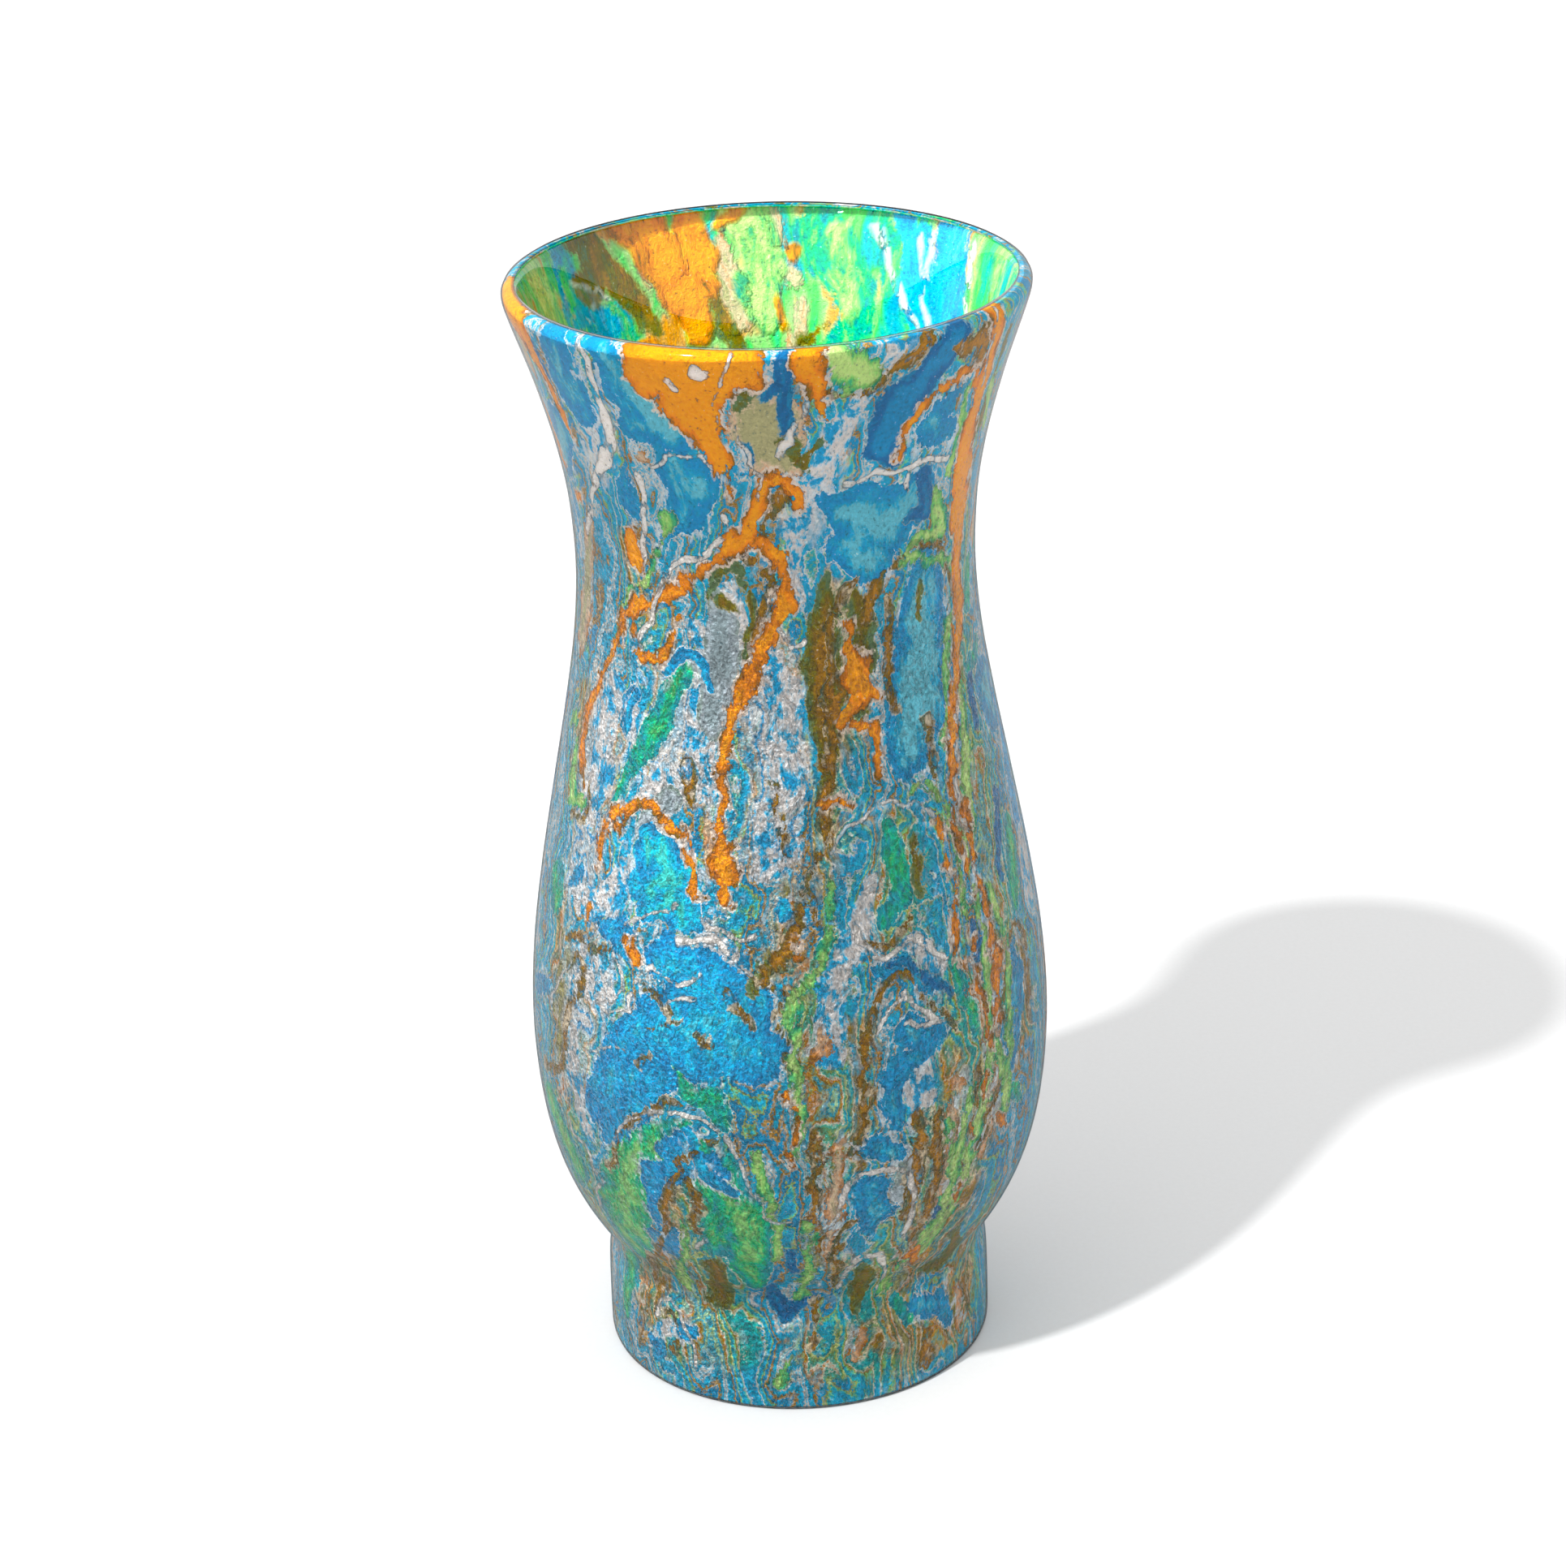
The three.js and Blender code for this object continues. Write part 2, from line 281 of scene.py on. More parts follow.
OCHRE = [
    [(-15, 101, 0.9), (-12, 97, 1.1), (-9, 93, 0.6)],
    [(-21, 92, 0.6), (-19, 90, 0.7)],
    [(-38, 92, 0.4), (-31, 91, 0.5), (-25, 93, 0.4)],
    [(28, 72, 1.3), (27, 60, 1.6), (25, 48, 1.2)],
    [(4, 70, 0.9), (4, 56, 1.2), (5, 43, 1)],
    [(44, 76, 0.9), (43, 60, 1.1), (38, 47, 1.1), (33, 37, 0.9)],
    [(12, 221, 1), (19, 219, 0.9), (25, 222, 1), (32, 226, 2), (36, 229, 2.2)],
    [(23, 181, 0.8), (18, 176, 1), (15, 170, 1), (15, 163, 1.2), (18, 156, 1)],
    [(27, 178, 1.6), (25, 171, 1.6), (30, 180, 1), (35, 182, 1), (42, 183.5, 1), (49, 183, 1.1),
     (54, 179, 1), (58, 173, 0.9), (60, 168, 0.9)],
    [(33, 174, 0.8), (31, 167, 1.5), (31, 159, 1.6), (33, 152, 0.8)],
    [(15, 160, 2), (14, 151, 1.6), (13, 144, 1.5), (11, 138, 1.1), (10, 132, 1.1), (9, 127, 0.9),
     (6, 121, 0.7), (7, 115, 0.6)],
    [(-2, 141, 0.8), (-1, 134, 1.1), (0, 128, 0.8)],
    [(3, 124, 0.6), (4, 119, 0.7), (2, 113, 1.8), (-2, 107, 2.2), (-6, 104, 1.4), (-3, 100, 0.8)],
    [(-27, 144, 2), (-25, 141, 1.8), (-24, 136, 0.9)],
    [(-9, 187, 0.7), (-5, 186, 0.9), (-2, 182, 0.9), (-3, 176, 1.2), (-6, 170, 1.2), (-8, 165, 0.8)],
    [(3, 200, 1.3), (1, 196, 1.3), (-3, 193, 1.2), (-2, 190, 0.8)],
    [(18, 109, 0.8), (22, 107.5, 0.9), (27, 108.5, 0.8), (31, 111, 0.9)],
    [(13, 65, 0.8), (15, 71, 1.1), (16, 78, 1.4), (15, 84, 1.2), (16, 90, 1.3), (18, 97, 0.9),
     (22, 100.5, 0.9), (27, 99.5, 0.8), (31, 96, 0.7), (35, 91, 0.7), (38, 87, 0.6)],
    [(-61, 101, 0.8), (-57, 103, 0.9), (-52, 102.5, 0.9), (-44, 103, 0.6)],
    [(-60, 96, 0.7), (-57, 99, 0.8), (-54, 97.5, 1), (-54, 92, 1), (-58, 89, 0.9), (-60, 83, 1.1),
     (-62, 76, 1.1), (-66, 72, 1.1), (-72, 69, 1.1)],
    [(-36, 83, 0.5), (-32, 85, 0.5)],
    [(-33, 99, 0.5), (-29, 97.5, 0.5), (-27, 94.5, 0.5)],
    [(57, 95, 0.7), (58, 99, 0.9), (62, 100.5, 1), (66, 99, 1.1), (68, 94, 1.2), (67, 88, 1.4),
     (66, 80, 1)],
    [(-48, 55, 0.8), (-44, 60, 0.8), (-40, 66, 0.8), (-36, 71, 0.8), (-31, 75, 0.8), (-26, 76, 0.6),
     (-19, 75.5, 0.7)],
    [(-28, 61, 1), (-25, 64, 1.1), (-22, 65, 0.8)],
    [(-19, 67.5, 0.8), (-16, 68.5, 0.7)],
    [(-26, 60, 0.8), (-28, 55, 1.3), (-30, 50, 1.5), (-32, 45, 1.1), (-35, 41, 1), (-40, 36, 1),
     (-45, 31, 1.1), (-50, 26, 1.3)],
    [(-23, 58, 0.9), (-22, 52, 1.2), (-23, 46, 0.9)],
    [(13, 48, 1), (10, 43, 0.9), (9, 37, 0.9), (9, 30, 0.8)],
    [(33, 71, 1.2), (32, 63, 1.7), (32, 55, 1.7), (31, 47, 1.3), (29, 40, 1)],
    [(52, 71, 0.8), (49, 64, 0.8), (45, 57, 0.8), (41, 50, 0.8), (38, 43, 0.7)],
    [(-53, 20, 0.8), (-55, 13, 0.8), (-57, 7, 0.8)],
    [(-46, 17, 0.6), (-42, 18, 0.7), (-39, 15, 0.5)],
    [(-42, 9, 1.3), (-39, 12, 0.8)],
    [(40, 7, 3), (39, 12, 1.2), (43, 11, 0.9)],
    [(60, 18, 1.4), (62, 11, 1.2)],
    [(-67, 125, 0.7), (-60, 125.5, 0.7), (-57, 129, 0.6), (-59, 134, 0.6)],
    [(46, 225, 2), (52, 224, 2.6), (54, 219, 2)],
    [(4, 22, 1), (5, 26, 0.7), (3, 15, 0.6)],
    [(0, 100, 0.6), (-1, 92, 0.5), (-0.5, 84, 0.5)],
    [(42, 150, 0.7), (43, 140, 0.7), (43, 133, 0.7)],
]
OLIVE = [
    [(4, 210, 1.4), (7, 206, 1.2), (10, 210, 1)],
    [(-7, 217, 0.8), (-5, 221, 0.9)],
    [(14, 180, 1.5), (13, 173, 3.5), (12, 165, 4.5), (12, 156, 4), (12, 147, 2.4), (11, 139, 1.6)],
    [(22, 178, 1.5), (24, 170, 2.4), (24, 162, 2.2)],
    [(-8, 184, 0.8), (-13, 185, 0.9), (-17, 182, 0.9), (-20, 178, 0.6)],
    [(-9, 181.5, 0.6), (-6, 177, 1.1), (-7, 171, 1), (-9, 166, 0.7)],
    [(-15, 177, 1.6), (-12, 176, 1)],
    [(21, 153, 0.9), (23, 152, 1)],
    [(-22, 36, 2.4), (-24, 29, 3), (-26, 23, 2)],
    [(17, 34, 2.2), (17, 28, 2.4), (16, 23, 1.6)],
    [(32, 128, 1), (33, 122, 1.2), (33, 116, 0.9)],
    [(46, 175, 1.1), (45, 170, 1)],
    [(-42, 33, 1.8), (-46, 28, 1.6)],
    [(69, 222, 1.8), (68, 214, 0.8), (66, 205, 1.6)],
    [(44, 36, 2), (50, 28, 2), (40, 27, 1.6)],
    [(-5, 106, 1.4), (-8, 101, 1)],
    [(56, 84, 1.4), (57, 93, 0.9)],
]
ORANGE = [
    [(-25, 226, 6), (-15, 224, 7), (-6, 226, 4)],
    [(-19, 219, 5.5), (-15, 212, 3.6), (-13, 205, 2)],
    [(52, 128, 0.9), (52, 112, 1), (54, 98, 1), (53, 84, 1)],
    [(41, 128, 0.8), (42, 112, 0.8), (41, 100, 0.8)],
    [(20, 172, 0.8), (20, 166, 1.5), (21, 160, 2.4), (21, 155, 2.6), (17, 152, 1.2)],
    [(-30, 229, 2), (-22, 226, 5.4), (-16, 221, 4.4), (-14, 216, 2.4), (-13, 211, 1.6), (-12, 206, 1),
     (-11, 201, 0.7)],
    [(-8, 229, 4), (-4, 227, 3)],
    [(9, 229, 2.6), (9, 224, 2.4), (11, 219, 1.6), (12, 216, 0.7)],
    [(-12, 225, 2.5), (-10, 221, 2)],
    [(48, 217.5, 1.1), (42, 216.5, 1.2), (37, 213.5, 1.2), (34, 209, 1.1), (33, 204, 0.7)],
    [(48, 218, 1), (54, 216.5, 1), (58, 212, 1.2)],
    [(57, 229, 2.6), (59, 221, 2.6), (59, 212, 2.6), (60, 203, 3), (63, 195, 4.2), (64, 187, 4.4),
     (64, 180, 3.4), (62, 174, 2.6), (63, 168, 2.4), (62, 162, 2.4), (59, 156, 2), (55, 151, 1.6),
     (51, 147, 1.6), (49, 141, 1.2), (48, 134, 1), (47.5, 128, 0.9), (47, 122, 1), (48, 116, 0.8),
     (48, 112, 0.6)],
    [(45, 107, 0.5), (46, 102, 0.6), (46, 97, 0.6), (48, 92, 0.8), (49, 86, 0.7), (49, 79, 0.7)],
    [(6, 196, 1.3), (6, 199, 1.5), (3, 203, 1.3), (-2, 201.5, 1.6), (-4, 197, 2.2), (-7, 192, 2.4),
     (-12, 188.5, 1.9), (-17, 185.5, 1.3), (-24, 181.5, 1.1), (-30, 177, 1.8), (-37, 174.5, 1.6),
     (-44, 174, 1.7), (-49, 171.5, 1.1), (-52, 166, 1.2), (-56, 161, 1.1), (-60, 156, 1.4),
     (-63, 151, 1.4), (-65, 145, 1.2), (-65, 138, 1.2), (-62, 133, 1.2)],
    [(-8, 189, 0.9), (-3, 188.5, 1), (0, 185, 1.3), (2, 181, 1.6), (2, 176, 1.8), (-1, 172, 2),
     (-5, 168, 1.7), (-8, 162, 1.6), (-11, 157, 1.6), (-13, 151, 1.7), (-15, 145, 1.3), (-15, 138, 1.2),
     (-15.5, 131, 1.1), (-15, 125, 1.6), (-15.5, 120, 1.2), (-14, 116.5, 0.9)],
    [(-44, 187, 2.2), (-43, 182, 2.6)],
    [(-44, 165, 1), (-41, 162.5, 1.4), (-36, 162.5, 1.3), (-33, 165, 0.9), (-31, 168, 0.6)],
    [(-46, 170, 1), (-43, 168, 0.7)],
    [(-29, 172, 0.9), (-31, 168, 0.9)],
    [(21, 164, 2), (23, 158, 2.2), (28, 155, 0.9)],
    [(20, 150, 1.1), (26, 148.5, 1.4), (25, 144, 1.1), (24.5, 141, 0.6)],
    [(11, 137, 0.8), (17, 137, 0.7)],
    [(3, 111, 1), (2, 108, 0.8)],
    [(-51, 119, 0.6), (-50.5, 125, 0.9), (-46.5, 130.5, 1), (-41, 134.3, 0.9), (-35, 134.6, 0.9),
     (-29, 132.5, 0.8), (-24.5, 129.5, 0.7), (-22, 124, 0.8), (-20, 118, 0.6)],
    [(-53, 110, 0.6), (-53, 107, 0.7)],
    [(-38.5, 107.5, 0.8), (-37, 104, 0.9)],
    [(31, 36, 1.5), (33, 33, 1.2)],
    [(44, 62, 1), (43, 65, 0.6)],
    [(50, 62, 0.7), (54, 59, 0.9)],
    [(47, 68, 0.7), (47, 74, 0.6)],
    [(-1, 79, 0.5), (-0.5, 71, 0.5), (-1, 65, 0.4)],
    [(40, 47, 0.7), (41, 52, 0.6)],
    [(-69, 190, 1.6), (-64, 192, 1)],
    [(-92, 231, 3), (-84, 230, 4), (-74, 229, 4), (-67, 226, 3), (-64, 219, 2), (-62, 212, 1.4),
     (-60, 206, 0.8)],
    [(-84, 214, 1.5), (-78, 205, 2.2), (-76, 197, 2)],
    [(-63, 68, 0.9), (-62, 72, 0.8)],
]
WHITE = [
    [(-36, 100, 0.65), (-31, 103, 0.75), (-26, 101, 0.75), (-21, 104, 0.65)],
    [(-26, 109, 0.75), (-19, 110, 1), (-12, 108, 0.9), (-8, 104, 0.65)],
    [(-28, 97, 0.5), (-22, 99, 0.65)],
    [(-9, 214, 0.5), (-5, 208, 0.65), (-2, 203, 0.65), (-4, 198, 0.5)],
    [(8, 219, 0.4), (5, 213, 0.5), (2, 207, 0.65)],
    [(-9, 229, 0.5), (-12, 222, 0.5), (-13.5, 218, 0.4), (-12.5, 213, 0.4)],
    [(-21.5, 223.3, 1.1), (-21, 222.3, 1.1)],
    [(-15.5, 225.6, 1.2), (-14.5, 225.2, 1.2)],
    [(-44, 229, 0.8), (-43, 222, 1.2), (-42, 214, 1.2), (-43, 207, 1.9), (-47, 202, 1.6), (-53, 197, 1.3),
     (-59, 192, 1.4), (-65, 184, 1.4)],
    [(-36, 200, 1.3), (-37, 193, 1.3), (-38, 187, 1.2), (-40, 182, 1.1)],
    [(-31, 204, 0.6), (-25, 207, 0.6), (-18, 207.5, 0.6), (-14, 203, 0.5)],
    [(18, 201, 0.9), (27, 201.5, 0.6), (36, 200.5, 0.9), (44, 200.5, 0.9), (52, 200, 0.7)],
    [(36, 199, 0.8), (37, 195, 0.6)],
    [(-13, 196, 1), (-12, 191, 1), (-18, 188, 1.1), (-25, 184.5, 1), (-31, 181, 0.9), (-35, 176, 0.9),
     (-37, 171, 1), (-42, 168, 1.4)],
    [(-20, 114.5, 0.6), (-17, 111.8, 0.8), (-12, 111, 0.8), (-8, 112.5, 0.6)],
    [(-40, 111, 0.6), (-34, 114, 0.6), (-28, 113.5, 0.6), (-26, 116, 0.5)],
    [(-45, 105, 0.5), (-41, 101, 0.6), (-39.5, 96, 0.5), (-43, 93.5, 0.4)],
    [(-36, 97, 0.7), (-38, 92, 0.7), (-44, 90.5, 0.6), (-49, 92, 0.4)],
    [(12, 127, 0.4), (16, 132, 0.45), (22, 135.2, 0.5), (29, 136, 0.5), (36, 134, 0.4), (40, 129, 0.4)],
    [(15, 113, 0.6), (18, 106, 1), (23, 105, 1), (29, 107, 1.2), (35, 105, 1), (38, 101, 0.8)],
    [(19, 91, 0.6), (21, 95, 0.9), (26, 96, 1), (31, 93, 0.9), (33, 89, 0.8), (26, 91.5, 0.5)],
    [(-43, 62, 0.4), (-39, 68, 0.5), (-34, 72.3, 0.7), (-27, 73.7, 0.8), (-20, 73.6, 0.8),
     (-14.5, 70.8, 0.7), (-12, 65, 0.6), (-10, 58, 0.5), (-8, 52, 0.5), (-6, 49.5, 0.5), (-1, 50, 0.4)],
    [(-50, 81, 0.4), (-45, 82, 0.5), (-40, 83.5, 0.4)],
    [(-62, 63, 0.6), (-58, 58, 0.6), (-54, 57, 0.6), (-51, 50, 0.7), (-53, 44, 0.6), (-58, 37, 0.5)],
    [(9, 49, 0.6), (11, 55, 0.8), (14, 60, 0.9), (20, 60.5, 0.9), (25, 57.5, 0.8), (27, 50, 0.8),
     (26, 43, 0.8), (25, 36, 0.6)],
    [(10, 29, 0.8), (12, 36, 1), (16, 39, 1.2), (20, 39, 1), (23, 33, 0.8), (24, 26, 0.6)],
    [(-50, 16, 0.7), (-47, 20, 0.7), (-42, 20.8, 0.8), (-37, 18, 0.7), (-34, 12, 0.7), (-33, 7, 0.6)],
    [(-21, 44, 0.5), (-24, 41, 0.6)],
    [(7, 170, 0.8), (3, 168, 0.7), (0, 171, 0.5)],
    [(57, 228, 0.6), (57, 221, 0.5), (59, 214, 0.5)],
    [(52, 147, 0.7), (51, 138, 0.7), (49.5, 128, 0.5), (50, 118, 0.5)],
    [(-60, 96, 0.4), (-64, 92, 0.5), (-67, 86, 0.6)],
    [(71, 132, 0.5), (75, 126, 0.5), (79, 119, 0.5)],
]
PEWTER = [
    [(-17, 177, 2.5), (-16, 171, 4.4), (-17, 163, 4.6), (-18, 154, 3.6)],
    [(-30, 137, 2.6), (-36, 131, 2.4)],
    [(26, 61, 2), (24, 52, 2)],
]
SILVER = [
    [(28, 229, 1.4), (25, 225, 2), (19, 217, 2.4), (14, 210, 3), (12, 203, 2.6), (10, 197, 2),
     (5, 191, 2.6), (4, 184, 2.2), (5, 177, 1.6)],
    [(-12, 206, 1), (-5, 205, 1.2), (1, 207, 1.4), (8, 204, 1.6)],
    [(-13, 177, 4), (-14, 170, 5), (-17, 165, 4.6), (-24, 171, 2.4), (-12, 160, 2.6)],
    [(-2, 164, 3.4), (3, 156, 3.6), (-1, 148, 3.6), (3, 140, 2.6), (-5, 134, 2.4), (-7, 124, 2),
     (5, 130, 1.6)],
    [(-52, 154, 4), (-56, 146, 4.4), (-54, 138, 4), (-58, 128, 3)],
    [(-22, 157, 3.6), (-22, 148, 3.6), (-21, 140, 3), (-32, 140, 3), (-38, 135, 1.6)],
    [(-60, 116, 3), (-57, 109, 2.4), (-47, 113, 3), (-42, 122, 2.2)],
    [(-52, 99, 4), (-46, 95, 3.6), (-56, 93, 2)],
    [(-57, 82, 3), (-56, 72, 2.6), (-53, 62, 2.2)],
    [(-18, 109, 2.4), (-13, 108, 2), (-24, 104, 1)],
    [(20, 120, 2), (14, 109, 2.4), (9, 103, 2.2), (8, 95, 2.4), (8, 86, 2)],
    [(30, 106, 2), (36, 100, 2)],
    [(28, 82, 3), (29, 75, 2.6), (26, 88, 1.6)],
    [(-14, 41, 1.6), (-12, 33, 1.6), (-13, 25, 1.6)],
    [(-47, 13, 2.6), (-42, 14, 2)],
    [(-72, 208, 0.1), (-72, 207, 0.1)],
    [(79, 112, 4), (78, 102, 3.4)],
    [(-75, 188, 4), (-78, 178, 3)],
    [(26, 50, 1.2), (27, 62, 1.2)],
]

# What shows on the far wall inside the mouth
INSIDE_LIME = [
    [(187, 229, 3.4), (183, 224, 4), (180, 216, 3.6), (181, 208, 3), (186, 214, 2.4)],
    [(162, 224, 2), (160, 216, 2.4), (157, 208, 2)],
    [(252, 229, 5), (251, 222, 5), (249, 214, 4), (246, 207, 3)],
    [(108, 227, 2.4), (105, 220, 2.6), (104, 212, 2)],
    [(96, 226, 2), (95, 219, 2)],
]
INSIDE_MINT = [
    [(223, 212, 1.4), (219, 206, 1.8), (215, 201, 1.4)],
    [(167, 227, 3), (162, 221, 4.4), (158, 214, 4.4), (154, 207, 4), (160, 202, 3)],
    [(170, 224, 3), (166, 217, 2)],
    [(150, 229, 3), (148, 222, 2.4), (147, 214, 2)],
]
INSIDE_ORANGE = [
    [(216, 229, 3.6), (210, 226, 5), (206, 220, 5.4), (202, 213, 4.6), (199, 206, 3.6)],
    [(199, 228, 3), (197, 222, 3.4), (195, 214, 2.6)],
    [(174, 219, 1.3), (172, 220.5, 1.2)],
    [(177, 211, 0.9), (176, 206, 1)],
    [(190, 226, 1.6), (186, 228, 1.2)],
]
INSIDE_BLUE = [
    [(146, 228, 2.4), (141, 224, 3.6), (138, 216, 4), (134, 209, 4.4), (132, 202, 4)],
    [(130, 226, 4.4), (127, 219, 5), (124, 211, 4.6), (121, 204, 3.4)],
    [(238, 226, 0.9), (241, 219, 0.8), (245, 212, 0.9), (247, 206, 0.8)],
    [(239, 213, 2.2), (231, 213.5, 2.6), (226, 209, 2.8), (234, 207, 2.8)],
]
INSIDE_WHITE = [
    [(153, 226, 0.6), (149, 221, 0.7), (146, 217, 0.7), (140, 211, 0.7), (133, 206, 0.6)],
    [(139.5, 225, 0.5), (137.5, 219, 0.45), (135.5, 214, 0.5), (131.5, 209, 0.5)],
    [(136.5, 225, 0.4), (135, 218, 0.4)],
    [(121, 225, 0.8), (119, 219, 1.2), (117, 213, 1), (116, 208, 0.8)],
    [(236, 220.3, 0.35), (230, 217.4, 0.35), (223, 214, 0.3)],
    [(235, 212.6, 0.5), (234.4, 212.2, 0.5)],
    [(230, 215, 0.4), (229.5, 214.7, 0.4)],
]
INSIDE_PEACH = [
    [(191, 222, 1.4), (190, 214, 2.2), (187, 206, 2.4)],
    [(178, 227, 1), (177, 221, 1.2)],
    [(213, 226, 0.7), (212, 219, 0.9), (209, 214, 0.7)],
    [(203, 225, 0.9), (201, 219, 0.9)],
    [(174, 215.5, 2.2), (172.5, 215, 2.2)],
    [(171, 210, 1.2), (171, 206, 1.6), (173, 203, 1.4)],
    [(221, 222, 0.8), (219, 218, 1.3), (217, 213, 0.7)],
]
INSIDE_OLIVE = [
    [(231, 228, 2.6), (226, 223, 4), (222, 219, 4), (217, 214, 3), (213, 208, 2)],
    [(233, 219, 3), (228, 217, 3)],
    [(194, 212, 1.2), (191, 206, 1.8), (188, 201, 1.8)],
    [(108, 218, 0.9), (107, 214, 0.8)],
    [(171, 203, 1.2), (164, 206, 0.8)],
]
INSIDE_CYAN = [
    [(178.5, 215, 0.4), (177.5, 217.2, 0.4), (174, 218.2, 0.4), (170.5, 217, 0.4), (169, 214.5, 0.3)],
]
# The white is let down thin and draws in as it runs, to this share of the widths it is poured at
WHITE_DRAWN_IN = 0.78

OUTSIDE = {
    "silver": SILVER, "pewter": PEWTER, "mint": MINT, "blue": BLUE, "sky_blue": SKY_BLUE_AND_SHEEN,
    "deep_blue": DEEP_BLUE, "cyan": CYAN, "peach": PEACH, "olive": OLIVE, "ochre": OCHRE, "lime": LIME,
    "orange": ORANGE,
    "white": [[(turn, height, half * WHITE_DRAWN_IN) for turn, height, half in run] for run in WHITE],
}
INSIDE = {
    "mint": INSIDE_MINT, "sky_blue": INSIDE_BLUE, "cyan": INSIDE_CYAN, "peach": INSIDE_PEACH,
    "olive": INSIDE_OLIVE, "lime": INSIDE_LIME, "orange": INSIDE_ORANGE, "white": INSIDE_WHITE,
}
# Soft patches where the strings between the pools run green and olive
GREEN_WASH = [
    [(110, 200, 8), (104, 170, 6), (112, 140, 8)],
    [(150, 120, 8), (144, 90, 9), (150, 60, 8)],
    [(200, 190, 8), (206, 160, 6), (200, 130, 6)],
    [(240, 100, 8), (236, 70, 9), (242, 30, 8)],
    [(180, 30, 8), (160, 14, 6)],
    [(60, 200, 4), (66, 180, 6), (64, 160, 4), (62, 140, 5), (60, 120, 5), (58, 100, 5)],
    [(28, 128, 6), (27, 112, 6)],
    [(42, 96, 5), (40, 74, 8), (32, 58, 8), (28, 40, 8), (22, 24, 8)],
    [(6, 104, 4), (6, 84, 5), (8, 60, 4)],
    [(-22, 60, 8), (-22, 36, 9), (-30, 18, 6)],
    [(-64, 60, 8), (-60, 26, 6)],
    [(60, 30, 9), (58, 12, 8)],
    [(18, 172, 6), (18, 150, 4)],
    [(4, 14, 6), (24, 12, 8)],
    [(-20, 16, 7), (-46, 12, 6)],
    [(10, 12, 7), (34, 12, 7), (54, 14, 6)],
]
# where they run ochre and cream
OCHRE_WASH = [
    [(130, 215, 4), (126, 180, 4), (130, 150, 4)],
    [(170, 150, 4), (166, 110, 5), (170, 70, 4)],
    [(220, 130, 4), (216, 90, 5), (222, 40, 5)],
    [(255, 190, 4), (250, 160, 4)],
    [(100, 90, 4), (104, 50, 5)],
    [(36, 78, 3), (34, 62, 4), (33, 46, 4), (30, 34, 3)],
    [(48, 76, 3), (47, 60, 4), (42, 44, 4), (36, 30, 4), (30, 20, 4)],
    [(16, 178, 3), (16, 158, 3), (12, 138, 2.5), (9, 120, 2)],
    [(15, 92, 2.5), (16, 76, 2.5), (13, 62, 2)],
    [(-66, 108, 3), (-62, 90, 3), (-64, 76, 3)],
    [(-30, 58, 3), (-32, 42, 4), (-44, 30, 5), (-54, 18, 5)],
    [(20, 16, 4), (40, 10, 5), (60, 16, 6)],
    [(0, 120, 3), (-2, 106, 3)],
    [(-68, 150, 3), (-70, 130, 3)],
    [(-46, 186, 3), (-40, 172, 3)],
    [(6, 44, 3), (10, 34, 3)],
    [(62, 96, 4), (64, 78, 4)],
]
# and where they run white and silver
WHITE_WASH = [
    [(185, 210, 6), (180, 180, 5)],
    [(125, 100, 6), (120, 70, 6)],
    [(210, 60, 6)],
    [(160, 190, 5)],
    [(250, 140, 6)],
    [(-2, 166, 7), (0, 146, 7), (-4, 128, 5)],
    [(-30, 158, 7), (-22, 142, 7), (-54, 148, 7), (-58, 118, 6)],
    [(-44, 212, 4), (-52, 200, 4)],
    [(-50, 98, 6), (-56, 74, 5)],
    [(14, 208, 5), (8, 192, 4)],
    [(-12, 12, 2.5)],
    [(8, 66, 1), (10, 52, 1)],
    [(-15, 174, 6)],
]
WASHES = {"green_wash": GREEN_WASH, "ochre_wash": OCHRE_WASH, "white_wash": WHITE_WASH}

# More runs of each paint, strewn over the far side: how many, the thinnest and the fattest half-width,
# and how far they run down
STREWN_OUTSIDE = {
    "silver": (26, 2.2, 3.6, 20), "pewter": (7, 2.0, 4.0, 22), "mint": (14, 2.0, 5.0, 24),
    "blue": (22, 3.2, 8.5, 22), "sky_blue": (12, 3.2, 8.5, 22), "deep_blue": (9, 1.4, 3.0, 16),
    "cyan": (7, 1.8, 4.0, 14), "peach": (10, 1.0, 2.6, 18), "olive": (11, 0.9, 3.4, 18),
    "ochre": (30, 0.5, 1.4, 30), "lime": (20, 0.5, 1.5, 34), "orange": (24, 0.6, 2.2, 34),
    "white": (40, 0.4, 0.9, 24),
}
# And the broad first pools that show through the glass
STREWN_INSIDE = {
    "silver": (6, 2.5, 5, 40), "pewter": (0, 1, 2, 20), "mint": (14, 3, 7, 60), "blue": (14, 4, 8, 70),
    "sky_blue": (16, 4, 8, 70), "deep_blue": (6, 2, 4, 40), "cyan": (10, 3, 6, 40),
    "peach": (6, 1.0, 2.6, 30), "olive": (10, 1.5, 4, 50), "ochre": (8, 1, 2, 50), "lime": (18, 3, 6, 60),
    "orange": (16, 3, 6, 70), "white": (12, 0.5, 1.0, 40),
}
# The far wall of the mouth is left clear of strewn pools above this height
MOUTH_CLEAR_ABOVE = 190
OUTSIDE_SEED = 20
INSIDE_SEED = 7

# How far the outlines wander, as wavelength: spread in millimetres, sideways and up and down
SIDEWAYS = {24: 0.5, 9: 0.32, 4.5: 0.12, 2.4: 0.06}
SIDEWAYS_SEED = 3
UPWARD = {26: 0.5, 10: 0.4, 5: 0.16, 2.6: 0.07}
UPWARD_SEED = 4
WAVES_PER_LENGTH = 6


